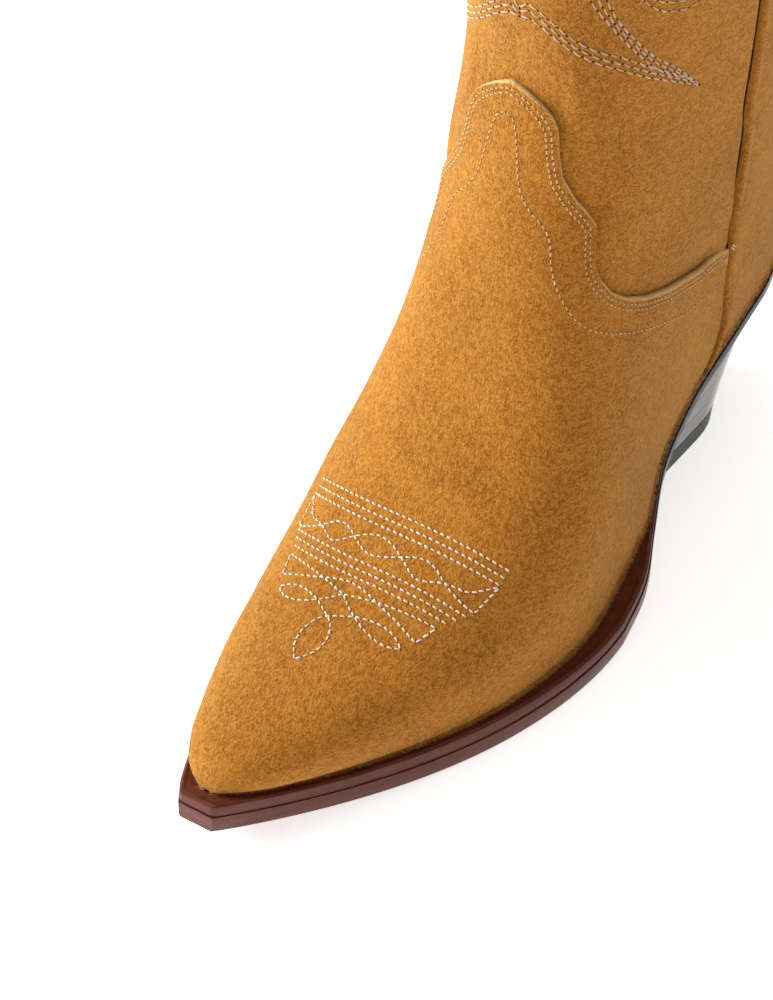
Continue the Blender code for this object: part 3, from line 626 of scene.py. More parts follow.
def polished_look(name, dark, light, rough, coat, lines, spacing, rear=None):
    """Stained and burnished leather: streaks, fibre layers in its edges, wax, a darker rear if given."""
    made, tree, shader = new_look(name, Coat_Weight=coat, Coat_Roughness=0.16, Specular_IOR_Level=0.24)
    streak = noise(tree, 60, 5, 0.6, (1.0, 0.5, 9.0), 0.5)
    mottle = noise(tree, 240, 4, 0.6)
    tone = mix(tree, 0.35, streak, mottle)
    colour = mix(tree, spread(tree, tone, 0.32, 0.68), dark, light)
    place = node(tree, "ShaderNodeTexCoord").outputs["Object"]
    height = node(tree, "ShaderNodeSeparateXYZ", Vector=place).outputs["Z"]
    bent = maths(tree, "ADD", height, maths(tree, "MULTIPLY", noise(tree, 18, 2), 0.0012))
    wave = maths(tree, "SINE", maths(tree, "MULTIPLY", bent, 2 * math.pi / (spacing / 1000)))
    layer = spread(tree, wave, 0.2, 1.0, 0.0, lines)
    colour = mix(tree, layer, colour, dark)
    scuff = spread(tree, noise(tree, 900, 3, 0.7, (1.0, 0.3, 1.0)), 0.62, 0.80, 0.0, 0.5)
    colour = mix(tree, scuff, colour, light)
    if rear:
        place = node(tree, "ShaderNodeTexCoord").outputs["Object"]
        along = node(tree, "ShaderNodeSeparateXYZ", Vector=place).outputs["Y"]
        colour = mix(tree, spread(tree, along, WAIST_FROM, WAIST_TO), colour, rear)
    tree.links.new(colour, shader.inputs["Base Color"])
    tree.links.new(spread(tree, mottle, 0.3, 0.7, rough - 0.07, rough + 0.1), shader.inputs["Roughness"])
    bumped(tree, shader, maths(tree, "ADD", streak, mottle), 0.12, 0.0007)
    return made


def lining_look():
    """Undyed pigskin: fine pebble, faint spots, a soft polish from wear."""
    made, tree, shader = new_look("lining_pigskin", Specular_IOR_Level=0.35, Sheen_Weight=0.1)
    spots = noise(tree, 900, 2)
    cloud = noise(tree, 30, 4)
    colour = mix(tree, spread(tree, cloud, 0.3, 0.7), (0.50, 0.34, 0.19, 1), (0.66, 0.48, 0.29, 1))
    colour = mix(tree, spread(tree, spots, 0.56, 0.70, 0, 0.5), colour, (0.36, 0.22, 0.11, 1))
    tree.links.new(colour, shader.inputs["Base Color"])
    tree.links.new(spread(tree, cloud, 0.3, 0.7, 0.5, 0.68), shader.inputs["Roughness"])
    bumped(tree, shader, noise(tree, 1100, 3, 0.6), 0.4, 0.0004)
    return made


def plain_look(name, dark, light, rough, scale, metallic=0.0, bump=0.3):
    """A grained look for the pieces inside and underneath."""
    made, tree, shader = new_look(name, Metallic=metallic, Specular_IOR_Level=0.4)
    grain = noise(tree, scale, 4, 0.6)
    tree.links.new(mix(tree, spread(tree, grain, 0.32, 0.68), dark, light), shader.inputs["Base Color"])
    tree.links.new(spread(tree, grain, 0.3, 0.7, rough - 0.08, rough + 0.08), shader.inputs["Roughness"])
    bumped(tree, shader, grain, bump, 0.0006)
    return made


SUEDE = suede_look(
    "honey_suede", (0.33, 0.102, 0.008, 1), (0.47, 0.165, 0.016, 1), (0.66, 0.290, 0.048, 1),
    (0.84, 0.56, 0.22, 1),
)
TRIM = suede_look(
    "honey_suede_trim", (0.30, 0.092, 0.007, 1), (0.43, 0.146, 0.014, 1), (0.60, 0.255, 0.040, 1),
    (0.66, 0.40, 0.13, 1),
)
RAW = raw_look()
THREAD = thread_look("cream_thread", (0.72, 0.53, 0.37, 1), (0.88, 0.73, 0.57, 1))
FLAME_THREAD = thread_look("dusty_thread", (0.50, 0.31, 0.19, 1), (0.70, 0.49, 0.34, 1))
SAND_THREAD = tan_thread_look()
HOLE_SHADE = hole_shade_look()
REAR = (0.020, 0.008, 0.006, 1)
SOLE = polished_look(
    "mahogany_sole", (0.070, 0.013, 0.006, 1), (0.165, 0.036, 0.015, 1), 0.36, 0.08, 0.40, 1.35, REAR
)
WELT = polished_look(
    "mahogany_welt", (0.065, 0.012, 0.006, 1), (0.155, 0.033, 0.013, 1), 0.34, 0.10, 0.35, 1.1, REAR
)
HEEL = polished_look(
    "dark_heel_leather", (0.014, 0.006, 0.004, 1), (0.050, 0.020, 0.012, 1), 0.20, 0.7, 0.10, 1.6
)
LINING = lining_look()


# Thread


def arc_lengths(points):
    return np.concatenate([[0], np.cumsum(np.linalg.norm(np.diff(points, axis=0), axis=1))])


def stitches(points, out, pitch, share, width, slant=0.10):
    """Stitches of lock thread along a line: (points, quads, caps) and the places of the needle holes."""
    at = arc_lengths(points)
    count = max(int(round(at[-1] / pitch)), 1)
    start = np.linspace(0, at[-1], count + 1)

    def along(where, of):
        return np.stack([np.interp(where, at, of[:, k]) for k in range(3)], -1)

    pitch = at[-1] / count
    gap = pitch * (1 - share) / 2
    first = along(start[:-1] + gap, points)
    last = along(start[1:] - gap, points)
    up = along((start[:-1] + start[1:]) / 2, out)
    up /= np.linalg.norm(up, axis=1, keepdims=True)
    run = last - first
    over = np.cross(run, up)
    over /= np.maximum(np.linalg.norm(over, axis=1, keepdims=True), 1e-9)
    wobble = 1 + 0.12 * RANDOM.standard_normal(count)
    rings = []
    for t in (0.0, 0.12, 0.32, 0.68, 0.88, 1.0):
        swell = math.sin(math.pi * t)
        radius = width / 2 * (0.42 + 0.58 * swell**0.5) * wobble
        height = width * (-0.42 + 0.86 * swell**0.6)
        side = (t - 0.5) * slant * pitch
        centre = first + run * t + up * height + over * side
        for turn in range(6):
            a = turn * math.pi / 3
            offset = over * math.cos(a) + up * math.sin(a) * 0.82
            rings.append(centre + offset * radius[:, None])
    stacked = np.stack(rings, 1)
    body = quads_of(6, 6, close_columns=True)
    base = (np.arange(count) * 36)[:, None, None]
    quads = (body[None] + base).reshape(-1, 4)
    cap = np.array([[0, 1, 2, 3, 4, 5], [35, 34, 33, 32, 31, 30]])
    caps = (cap[None] + base).reshape(-1, 6)
    holes = along(start, points)
    hole_up = along(start, out)
    return stacked.reshape(-1, 3), quads, caps, holes, hole_up


def hole_shade_meshes(places, ups, radius):
    """Small dark lens-shaped beads that sit in the surface at each needle hole: painted shade that stands for
    the shadow inside the hole.
    """
    count = len(places)
    ups = ups / np.linalg.norm(ups, axis=1, keepdims=True)
    first = np.cross(ups, [0.3, 0.5, 0.81])
    first /= np.linalg.norm(first, axis=1, keepdims=True)
    second = np.cross(ups, first)
    parts = [places + ups * 0.10]
    for turn in range(6):
        a = turn * math.pi / 3
        parts.append(places + (first * math.cos(a) + second * math.sin(a)) * radius + ups * 0.02)
    parts.append(places - ups * 0.3)
    points = np.stack(parts, 1).reshape(-1, 3)
    fan = []
    for turn in range(6):
        a = 1 + turn
        b = 1 + (turn + 1) % 6
        fan += [(0, a, b), (7, b, a)]
    faces = (np.array(fan)[None] + (np.arange(count) * 8)[:, None, None]).reshape(-1, 3)
    return points, faces


def sew(name, lines, pitch, share, width, look, hole=0.0, slot="trim_suede", body="boot", slant=0.10):
    """Sews lines of (points, directions) and returns the objects made."""
    points = []
    groups = []
    count = 0
    hole_shade_points = []
    hole_shade_faces = []
    holes = 0
    for line, out in lines:
        made, quads, caps, places, ups = stitches(line, out, pitch, share, width, slant)
        points.append(made)
        groups += [(quads + count, 0), (caps + count, 0)]
        count += len(made)
        if hole:
            # Beads of painted shade at the needle holes.
            beads, faces = hole_shade_meshes(places, ups, hole)
            hole_shade_points.append(beads)
            hole_shade_faces.append(faces + holes)
            holes += len(beads)
    made = [make_piece(name, np.concatenate(points), groups, [look], slot=slot, body=body, sharp=0)]
    if hole:
        points = np.concatenate(hole_shade_points)
        groups = [(np.concatenate(hole_shade_faces), 0)]
        made.append(make_piece(name + "_hole_shade", points, groups, [HOLE_SHADE], slot=slot, body=body))
    return made


def front_lift(s, v):
    """How far the shaft's front lies below the level of the upper: it dips under the vamp's edge."""
    u = 1 - np.abs(v)
    deep = 0.5 + 1.4 * ease(u, 0.33, 0.42)
    wide = 0.030 + 0.045 * ease(u, 0.42, 0.60)
    return -deep * (1 - ease(s - vamp_edge(u), 0.004, wide))


def line_on(places, dips=False):
    """The points and directions of a line of (s, v) places."""
    places = np.asarray(places, float)
    s = places[:, 0]
    v = places[:, 1]
    raised = front_lift(s, v) if dips else 0.0
    return on_upper(s, v, raised), normal(s, v)


def mirrored(places):
    return np.stack([places[:, 0], -places[:, 1]], 1)


# Upper


def across_front(u):
    """The v of columns over the front, from u on the outer side to the same u on the inner side."""
    return np.concatenate([1 - u, -(1 - u[-2::-1])])


def across_back(u):
    """The v of columns over the back, from the last u on the outer side to the last on the inner side."""
    return np.concatenate([1 - u[::-1], -(1 - u[1:])])


def front_columns():
    """Places across the upper, close together where the vamp's edge turns."""
    runs = ((0, 0.68, 74), (0.684, 0.73, 26), (0.736, 0.90, 40), (0.905, 1, 15))
    return across_front(np.concatenate([np.linspace(*run) for run in runs]))


def make_vamp():
    v = front_columns()
    u = 1 - np.abs(v)
    end = vamp_edge(u) - 0.0050 * (1 - ease(u, 0.30, 0.36))
    t = np.concatenate([np.linspace(0, 0.06, 14)[:-1], np.linspace(0.06, 0.975, 150)[:-1]])
    t = np.concatenate([t, np.linspace(0.975, 1, 22)])
    s = t[:, None] * end[None, :]
    v = np.broadcast_to(v, s.shape)
    close = np.clip((t[:, None] - 0.9964) / 0.0036, 0, 1) * ease(1 - np.abs(v), 0.30, 0.34)
    lift = -0.75 * close**2
    below = np.full(s.shape, -SUEDE_THICK)
    raw = ease(t[:, None], 0.9940, 0.9985) * ease(1 - np.abs(v), 0.29, 0.33)
    skin_piece(
        "vamp_suede", s, v, lift, below, [SUEDE, RAW], (0, 0, 1, 0), {"raw": raw * 0.9}, slot="suede",
        stands_for=["vamp"],
    )


def make_shaft_front():
    columns = 97
    t = np.linspace(0, 1, columns)
    low = np.full(t.shape, 0.47)
    for _ in range(60):
        across = seam(np.maximum(low, JUNCTION)) + SEAM_CLEAR
        u = across + (1 - across) * t
        low = 0.6 * low + 0.4 * (vamp_edge(u) - 0.013)
    rise = np.linspace(0, 1, 190) ** 1.12
    s = low[None, :] + (1 - low[None, :]) * rise[:, None]
    across = seam(np.maximum(s, JUNCTION)) + SEAM_CLEAR
    u = across + (1 - across) * t[None, :]
    s = np.concatenate([s, s[:, -2::-1]], 1)
    v = np.concatenate([1 - u, -(1 - u[:, -2::-1])], 1)
    level = front_lift(s, v)
    column = np.arange(s.shape[1])
    turned = np.broadcast_to(1 - ease(np.minimum(column, column[::-1]), 0, 1.5), s.shape)
    skin_piece(
        "shaft_front_suede", s, v, level - 0.9 * turned, level - PANEL_THICK, [SUEDE],
        values={"raw": 0.5 * turned}, slot="suede", stands_for=["shaft_front"],
    )


def make_shaft_back():
    low = np.linspace(SEAM_FOOT + 0.0065, 0.53, 48)[:-1]
    s = np.concatenate([low, np.linspace(0.53, 0.60, 56)[:-1], np.linspace(0.60, 1.0, 120)])
    reach = np.maximum(seam(s - 0.0052) - SEAM_CLEAR * ease(s, 0.46, 0.50), 0.004)
    t = np.concatenate([np.linspace(0, 0.96, 52), [0.98, 1.0]])
    u = reach[:, None] * t[None, :]
    v = np.concatenate([1 - u[:, ::-1], -(1 - u[:, 1:])], 1)
    s = np.broadcast_to(s[:, None], v.shape)
    turned = np.broadcast_to(np.concatenate([ease(t[::-1], 0.97, 1.0), ease(t[1:], 0.97, 1.0)]), s.shape)
    skin_piece(
        "shaft_back_suede", s, v, -0.9 * turned, np.full(s.shape, -PANEL_THICK), [SUEDE],
        values={"raw": 0.5 * turned}, slot="suede", stands_for=["shaft_back"],
    )


def sweep(centre, across, out, ring):
    """Points of a ring of (across, out) offsets carried along a line."""
    return np.stack([centre + across * a + out * b for a, b in ring], 1)


def rounded(corners, radius=0.3, steps=3):
    """A closed outline with its corners rounded."""
    corners = np.asarray(corners, float)
    made = []
    for k, corner in enumerate(corners):
        before = corners[k - 1] - corner
        after = corners[(k + 1) % len(corners)] - corner
        cut = min(radius, 0.45 * np.linalg.norm(before), 0.45 * np.linalg.norm(after))
        a = corner + before / np.linalg.norm(before) * cut
        b = corner + after / np.linalg.norm(after) * cut
        for t in np.linspace(0, 1, steps):
            made.append((1 - t) ** 2 * a + 2 * t * (1 - t) * corner + t**2 * b)
    return np.array(made)


def tube(name, rings, looks, closed=False, values=None, **more):
    """A closed piece from rings of points along a line."""
    rows, columns = rings.shape[:2]
    groups = [(quads_of(rows, columns, close_rows=closed, close_columns=True), 0)]
    if not closed:
        last = range(rows * columns - 1, (rows - 1) * columns - 1, -1)
        groups.append(([tuple(range(columns)), tuple(last)], 0))
    return make_piece(name, rings.reshape(-1, 3), groups, looks, values=values, **more)


def make_pipings():
    """The raised strips that cover the side seams."""
    for side, word in ((1, "outer"), (-1, "inner")):
        s = np.linspace(0.4475, 0.984, 260)
        v = side * (1 - seam(s))
        centre = on_upper(s, v)
        out = normal(s, v)
        along = np.gradient(centre, axis=0)
        along /= np.linalg.norm(along, axis=1, keepdims=True)
        across = np.cross(along, out)
        arch = [(-1.05 * math.cos(a), 0.30 + 0.9 * math.sin(a)) for a in np.linspace(0, math.pi, 11)]
        rings = sweep(centre, across, out, [(-1.05, -0.9)] + arch + [(1.05, -0.9)])
        name = "side_piping_" + word
        tube(name + "_suede", rings, [TRIM], slot="trim_suede", stands_for=[name])


def lining_depth(s):
    """The level of the lining's face on the upper's side: closer to the suede above the ankle."""
    return -(4.0 - 2.2 * ease(s, 0.62, 0.70))


def make_linings():
    back_rows = np.concatenate([np.linspace(0.432, 0.60, 90)[:-1], np.linspace(0.60, 0.999, 70)])
    for part, rows, v in (
        ("vamp_lining", np.linspace(0.045, 0.428, 90), across_front(np.linspace(0, 1, 60))),
        ("front_lining", np.linspace(0.432, 0.999, 120), across_front(np.linspace(0.335, 1, 60))),
        ("back_lining", back_rows, across_back(np.linspace(0, 0.327, 36))),
    ):
        s, v = np.broadcast_arrays(rows[:, None], v)
        face = lining_depth(s)
        skin_piece(
            part + "_leather", s, v, face, face - LINING_THICK, [LINING], stands_for=[part],
            slot="lining_leather",
        )
    lines = []
    s = np.linspace(0.46, 0.975, 240)
    for side in (1, -1):
        for u in (0.322, 0.340):
            v = side * (1 - u)
            lines.append((on_upper(s, v, lining_depth(s) - LINING_THICK), -normal(s, v)))
    sew("lining_seam_thread", lines, 3.0, 0.74, 0.45, SAND_THREAD, slot="lining_leather")


def make_binding():
    """The suede binding folded over the top line."""
    u = np.linspace(0, 1, 91)
    v = np.concatenate([1 - u, -(1 - u[-2:0:-1])])
    top = on_upper(1.0, v)
    out = normal(1.0, v)
    up = top - on_upper(0.99, v)
    up /= np.linalg.norm(up, axis=1, keepdims=True)
    ring = rounded(BINDING_SECTION, 0.7, 4)
    rings = np.stack([top + out * a + up * b for a, b in ring], 1)
    low = np.broadcast_to((ring[:, 1] < -4.4) * 0.8, rings.shape[:2])
    tube(
        "top_binding_suede", rings, [TRIM], closed=True, values={"raw": low}, slot="trim_suede",
        stands_for=["top_binding"],
    )
    outside = top + out * 1.78 - up * 3.4
    inside = top - out * 4.32 - up * 3.4
    lines = []
    for line, way in ((outside, out), (inside, -out)):
        lines.append((np.concatenate([line, line[:1]]), np.concatenate([way, way[:1]])))
    sew("top_binding_thread", lines, 2.6, 0.72, 0.5, THREAD, hole=0.2)


def make_straps():
    """Each pull strap is one piece of suede: two sewn legs and the loop between them."""
    for side, word in ((1, "left"), (-1, "right")):
        at = formula(1.0, 0.42, side)
        low = formula(0.93, 0.42, side)
        lean = (at[0] - low[0]) / (at[2] - low[2])
        x, y, z = at
        face = BINDING_SECTION[0][0] + 0.6 + STRAP_THICK / 2
        inner = BINDING_SECTION[5][0] - 1.4 - STRAP_THICK / 2
        half = (face - inner) / 2
        middle = x + side * (face + inner) / 2 + lean * 3
        route = [(x + side * face + lean * t, z + t) for t in np.linspace(-STRAP_LEG, 1.0, 26)]
        for t in np.linspace(0, math.pi, 41):
            reach = math.copysign(abs(math.cos(t)) ** 0.8, math.cos(t))
            rise = math.sin(t) ** 0.7 * STRAP_RISE
            route.append((middle + side * half * reach + lean * rise, z + 3.0 + rise))
        route += [(x + side * inner + lean * t, z + t) for t in np.linspace(1.0, -STRAP_LEG, 26)]
        route = np.array(route)
        for _ in range(2):
            route[1:-1] = (route[:-2] + 2 * route[1:-1] + route[2:]) / 4
        at_length = arc_lengths(route)
        dense = np.linspace(0, at_length[-1], 130)
        line = np.stack([np.interp(dense, at_length, route[:, k]) for k in range(2)], 1)
        along = np.gradient(line, axis=0)
        along /= np.linalg.norm(along, axis=1, keepdims=True)
        centre = np.stack([line[:, 0], np.full(len(line), y), line[:, 1]], 1)
        out = np.stack([along[:, 1] * side, np.zeros(len(line)), -along[:, 0] * side], 1)
        across = np.array([0.0, 1.0, 0.0])
        w = STRAP_WIDTH / 2
        h = STRAP_THICK / 2
        corners = [(-w, -h), (-w, h), (-w + 3.0, h), (0, h), (w - 3.0, h), (w, h), (w, -h), (0, -h)]
        ring = rounded(corners, 0.55, 4)
        rings = np.stack([centre + across * a + out * b for a, b in ring], 1)
        raw = np.broadcast_to(ease(np.abs(ring[:, 0]), w - 0.5, w - 0.05) * 0.7, rings.shape[:2])
        strap = tube(
            "pull_strap_" + word, rings, [TRIM], values={"raw": raw}, slot="trim_suede", body="",
            stands_for=["pull_strap_%s_%s" % (word, part) for part in ("outer_leg", "inner_leg", "loop")],
        )
        lines = [(centre + across * a + out * h, out) for a in (-w + STRAP_SEAM, w - STRAP_SEAM)]
        for first, last in ((2, 30), (100, 128)):
            for a in (-5.0, 5.0):
                lines.append((centre[first:last] + across * a + out[first:last] * h, out[first:last]))
        box = np.linspace(-w + STRAP_SEAM, w - STRAP_SEAM, 30)
        for k in (3, 27, 102, 126):
            spot = centre[k] + box[:, None] * across + out[k] * h
            lines.append((spot, np.broadcast_to(out[k], spot.shape)))
        thread = sew("pull_strap_%s_thread" % word, lines, 2.4, 0.72, 0.5, THREAD, hole=0.2, body="")
        for piece in [strap] + thread:
            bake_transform(piece)


# Stitching


def edge_line(distance):
    """Places on the vamp this far inside its edge, from above the side seam to the front line."""
    u = np.linspace(JUNCTION_U + 0.012, 0.9995, 420)
    s = vamp_edge(u)
    v = 1 - u
    point = on_upper(s, v)
    out = normal(s, v)
    along = np.gradient(point, axis=0)
    along /= np.linalg.norm(along, axis=1, keepdims=True)
    inward = np.cross(out, along)
    step_s = (on_upper(s + 0.002, v) - on_upper(s - 0.002, v)) / 0.004
    step_v = (on_upper(s, v + 0.004) - on_upper(s, v - 0.004)) / 0.008
    inward *= np.where((inward * step_s).sum(1, keepdims=True) > 0, -1, 1)
    target = inward * distance
    a = (step_s * step_s).sum(1)
    b = (step_s * step_v).sum(1)
    c = (step_v * step_v).sum(1)
    p = (target * step_s).sum(1)
    q = (target * step_v).sum(1)
    determinant = a * c - b * b
    s_new = s + (c * p - b * q) / determinant
    v_new = v + (a * q - b * p) / determinant
    moved = on_upper(s_new, v_new)
    gaps = np.linalg.norm(moved[:, None] - point[None, ::2], axis=2).min(1)
    keep = (gaps > 0.93 * distance) & (v_new >= 0)
    places = np.stack([s_new[keep], v_new[keep]], 1)
    for _ in range(3):
        places[1:-1] = (places[:-2] + 2 * places[1:-1] + places[2:]) / 4
    return places


def joined(right):
    """A line of the outer side that ends on the front line, carried on to the inner side."""
    return np.concatenate([right, mirrored(right)[::-1]])


def make_edge_stitching():
    lines = [line_on(joined(edge_line(distance))) for distance in EDGE_ROWS]
    sew("vamp_edge_thread", lines, 1.75, 0.70, 0.42, SAND_THREAD, hole=0.17)
    right = path([
        (0.4525, 0.0), (0.4510, 0.014), (0.4440, 0.027), (0.4294, 0.040), (0.3982, 0.068),
        (0.3882, 0.100), (0.3838, 0.150), (0.3775, 0.169), (0.3690, 0.176), (0.3593, 0.195),
        (0.3530, 0.236), (0.3560, 0.290), (0.3700, 0.355), (0.3880, 0.420), (0.4090, 0.487),
        (0.4330, 0.560), (0.4560, 0.640),
    ])
    lines = [line_on(right), line_on(mirrored(right))]
    sew("vamp_inner_row_thread", lines, 2.0, 0.66, 0.42, SAND_THREAD, hole=0.2)
    lines = []
    for side in (1, -1):
        for k in range(3):
            s = JUNCTION - 0.0022 + 0.0016 * k
            v = side * (1 - JUNCTION_U - np.linspace(-0.010, 0.010, 12))
            lines.append((on_upper(s, v, 0.75), normal(s, v)))
    sew("junction_tack_thread", lines, 3.8, 0.9, 0.55, THREAD, slant=0.0)


def medallion_lines():
    """The toe stitching: two bands of straight rows, crossing waves between them, looped leaves below."""
    lines = []
    across = np.linspace(-1, 1, 61)

    def bowed(level, half, outer, inner):
        v = across * half
        return np.stack([level + np.where(v > 0, outer, inner) * v**2, v], 1)

    for level, half in ((0.2030, 0.312), (0.1980, 0.312), (0.1930, 0.312)):
        lines.append(bowed(level, half, 0.10, 0.165))
    for level, half in ((0.1693, 0.298), (0.1643, 0.283), (0.1593, 0.266)):
        lines.append(bowed(level, half, 0.062, 0.15))
    high = [(0.1880, 0.0), (0.1865, 0.022), (0.1818, 0.060), (0.1770, 0.092), (0.1745, 0.118)]
    high += [(0.1768, 0.145), (0.1815, 0.182), (0.1838, 0.215), (0.1862, 0.250), (0.2015, 0.312)]
    low = [(0.1752, 0.0), (0.1768, 0.022), (0.1818, 0.060), (0.1858, 0.092), (0.1872, 0.118)]
    low += [(0.1860, 0.145), (0.1822, 0.182), (0.1800, 0.215), (0.1790, 0.255), (0.1795, 0.305)]
    for half in (high, low):
        right = path(half, 8)
        left = mirrored(right)[:0:-1]
        left[:, 0] += 0.065 * left[:, 1] ** 2
        lines.append(np.concatenate([left, right]))
    for side, drop in ((1, 0.0), (-1, 0.0062)):
        lines.append(path([(0.2015 + drop, 0.312 * side), (0.1795 + drop, 0.305 * side)], 10))
    for side, bend in ((1, 0.0), (-1, 0.085)):
        def turned(points):
            return path([(s + bend * v * v, v * side) for s, v in points], 8)

        for points in (
            [(0.1575, 0.252), (0.1555, 0.190), (0.1530, 0.120), (0.1512, 0.075), (0.1490, 0.034), (0.1468, 0)],
            [(0.1555, 0), (0.1545, 0.025), (0.1518, 0.065), (0.1492, 0.105), (0.1470, 0.150),
             (0.1448, 0.192), (0.1430, 0.238)],
            [(0.1575, 0.252), (0.1430, 0.238)],
            [(0.1368, 0.050), (0.1390, 0.085), (0.1402, 0.128), (0.1388, 0.175), (0.1345, 0.220)],
            [(0.1345, 0.220), (0.1305, 0.180), (0.1305, 0.130), (0.1330, 0.085), (0.1368, 0.050)],
            [(0.1468, 0), (0.1415, 0.020), (0.1368, 0.050)],
            [(0.1368, 0.050), (0.1335, 0.026), (0.1297, 0), (0.1230, -0.022), (0.1150, -0.034),
             (0.1060, -0.032), (0.0995, -0.016), (0.0948, 0)],
        ):
            lines.append(turned(points))
    return lines


def make_medallion():
    lines = [line_on(line) for line in medallion_lines()]
    sew("toe_medallion_thread", lines, 2.0, 0.80, 0.54, THREAD, hole=0.20)


def flame_lines():
    """The shaft's stitched flames on one half of its front, as places (s, v) with v above 0."""
    lines = []
    for k in range(3):
        up = 0.0030 * k
        lines.append(path([
            (0.5384 + 0.6 * up, 0.0), (0.5395 + up, 0.012), (0.5362 + up, 0.073), (0.5328 + up, 0.125),
            (0.5328 + up, 0.185), (0.5362 + up, 0.243), (0.5406 + 0.9 * up, 0.311),
            (0.5484 + 0.6 * up, 0.380 - 0.004 * k), (0.5562, 0.429 - 0.010 * k),
        ]))
    for k in range(3):
        up = 0.0036 * k
        out = 0.022 * k
        lines.append(path([
            (0.5566, 0.428 - 0.014 * (2 - k)), (0.5495 + up, 0.361), (0.5473 + up, 0.326 + 0.1 * out),
            (0.5484 + up, 0.286 + 0.2 * out), (0.5539 + up, 0.236 + 0.4 * out),
            (0.5606 + up, 0.206 + 0.4 * out), (0.5706 + up, 0.163 + 0.8 * out),
            (0.5860 + up, 0.136 + out), (0.6120, 0.112 + out),
            (0.6450, 0.108 + out), (0.6800, 0.140 + out), (0.7120, 0.198 + 0.8 * out),
            (0.7420, 0.262 + 0.5 * out), (0.7640, 0.345 + 0.2 * out), (0.7770, 0.430),
        ]))
    for k in range(2):
        d = 0.012 * k
        lines.append(path([
            (0.7300 - 3.2 * d, 0.330), (0.7050 - 1.5 * d, 0.268 + d), (0.6750, 0.228 + 1.6 * d),
            (0.6400, 0.216 + 1.8 * d), (0.6100, 0.236 + 1.6 * d), (0.5930 + 0.5 * d, 0.280 + d),
            (0.5925 + 0.6 * d, 0.318), (0.6020 + 0.4 * d, 0.362 - d), (0.6180, 0.402 - 1.6 * d),
            (0.6450, 0.424 - 1.9 * d), (0.6750, 0.412 - 1.7 * d), (0.7060 - 1.5 * d, 0.376 - d),
            (0.7300 - 3.2 * d, 0.330),
        ]))
    for k in range(3):
        d = 0.014 * k
        lines.append(path([
            (0.6900 + 1.2 * d, 0.0), (0.7150 + 0.5 * d, 0.052 - d), (0.7500, 0.098 - 1.4 * d),
            (0.7900, 0.112 - 1.5 * d), (0.8300, 0.086 - 1.3 * d), (0.8620 - 0.5 * d, 0.040 - 0.8 * d),
            (0.8850 - 1.6 * d, 0.0),
        ]))
    for k in range(3):
        up = 0.0052 * k
        lines.append(path([
            (0.9080 + up, 0.0), (0.8960 + up, 0.060), (0.8640 + up, 0.120), (0.8380 + up, 0.190),
            (0.8330 + up, 0.260), (0.8480 + up, 0.335), (0.8700 + 0.6 * up, 0.400), (0.8880, 0.450),
        ]))
    return lines


def make_shaft_stitching():
    front = []
    back = []
    for line in flame_lines():
        for turned in (line, mirrored(line)):
            front.append(line_on(turned, dips=True))
            side = 1.0 if turned[-1, 1] + turned[len(turned) // 2, 1] > 0 else -1.0
            behind = side * (1 - np.abs(turned[:, 1]) * 0.80)
            back.append(line_on(np.stack([turned[:, 0] + 0.058 * (1 - turned[:, 0]) / 0.45, behind], 1)))
    sew("shaft_front_flame_thread", front, 3.3, 0.78, 0.50, FLAME_THREAD, hole=0.36)
    sew("shaft_back_flame_thread", back, 3.3, 0.78, 0.50, FLAME_THREAD, hole=0.36)


# Nap


def fibres(name, s, v, lift, length, lean_out, down, width):
    """Short tapered fibres that stand from places on the upper."""
    count = len(s)
    root = on_upper(s, v, lift)
    out = normal(s, v)
    jitter = RANDOM.normal(0, 1, (count, 3))
    way = out * lean_out + np.array([0, 0, -1.0]) * down + jitter * 0.42
    way /= np.linalg.norm(way, axis=1, keepdims=True)
    side = np.cross(way, out + 0.01)
    side /= np.maximum(np.linalg.norm(side, axis=1, keepdims=True), 1e-9)
    other = np.cross(way, side)
    bend = np.cross(way, RANDOM.normal(0, 1, (count, 3))) * 0.25
    parts = []
    for turn in range(3):
        a = turn * 2 * math.pi / 3
        parts.append(root + (side * math.cos(a) + other * math.sin(a)) * width[:, None])
    knee = root + way * (length * 0.55)[:, None]
    for turn in range(3):
        a = turn * 2 * math.pi / 3
        parts.append(knee + (side * math.cos(a) + other * math.sin(a)) * (width * 0.7)[:, None])
    parts.append(root + (way + bend) * length[:, None])
    points = np.stack(parts, 1).reshape(-1, 3)
    base = (np.arange(count) * 7)[:, None, None]
    walls = np.array([(0, 1, 4, 3), (1, 2, 5, 4), (2, 0, 3, 5)])
    ends = np.array([(3, 4, 6), (4, 5, 6), (5, 3, 6), (2, 1, 0)])
    groups = [((walls[None] + base).reshape(-1, 4), 0), ((ends[None] + base).reshape(-1, 3), 0)]
    make_piece(name, points, groups, [NAP], slot="suede", sharp=0)


def make_feather_line():
    """The raised fibres where the vamp and the back meet the welt and the seat."""
    count = 16000
    s = RANDOM.uniform(0.002, SEAT_END - 0.002, count)
    v = np.where(RANDOM.random(count) < 0.5, 1, -1) * (1 - np.abs(RANDOM.normal(0, 0.020, count)))
    length = RANDOM.uniform(0.8, 1.9, count)
    fibres("feather_line_nap", s, v, -0.1, length, 0.75, 0.35, RANDOM.uniform(0.03, 0.055, count))


def make_nap():
    """Loose fibres all over the suede."""
    count = 26000
    s = RANDOM.uniform(0.004, 0.985, count)
    v = RANDOM.uniform(-1, 1, count)
    lift = np.where(s > vamp_edge(1 - np.abs(v)), front_lift(s, v), 0.0)
    lift = np.where(1 - np.abs(v) < seam(np.maximum(s, SEAM_FOOT)), 0.0, lift) - 0.08
    length = RANDOM.uniform(0.25, 0.6, count)
    fibres("suede_nap", s, v, lift, length, 0.55, 0.25, RANDOM.uniform(0.025, 0.045, count))


NAP = plain_look("suede_fibre", (0.46, 0.19, 0.026, 1), (0.74, 0.42, 0.11, 1), 0.9, 300, bump=0.1)


# Bottom


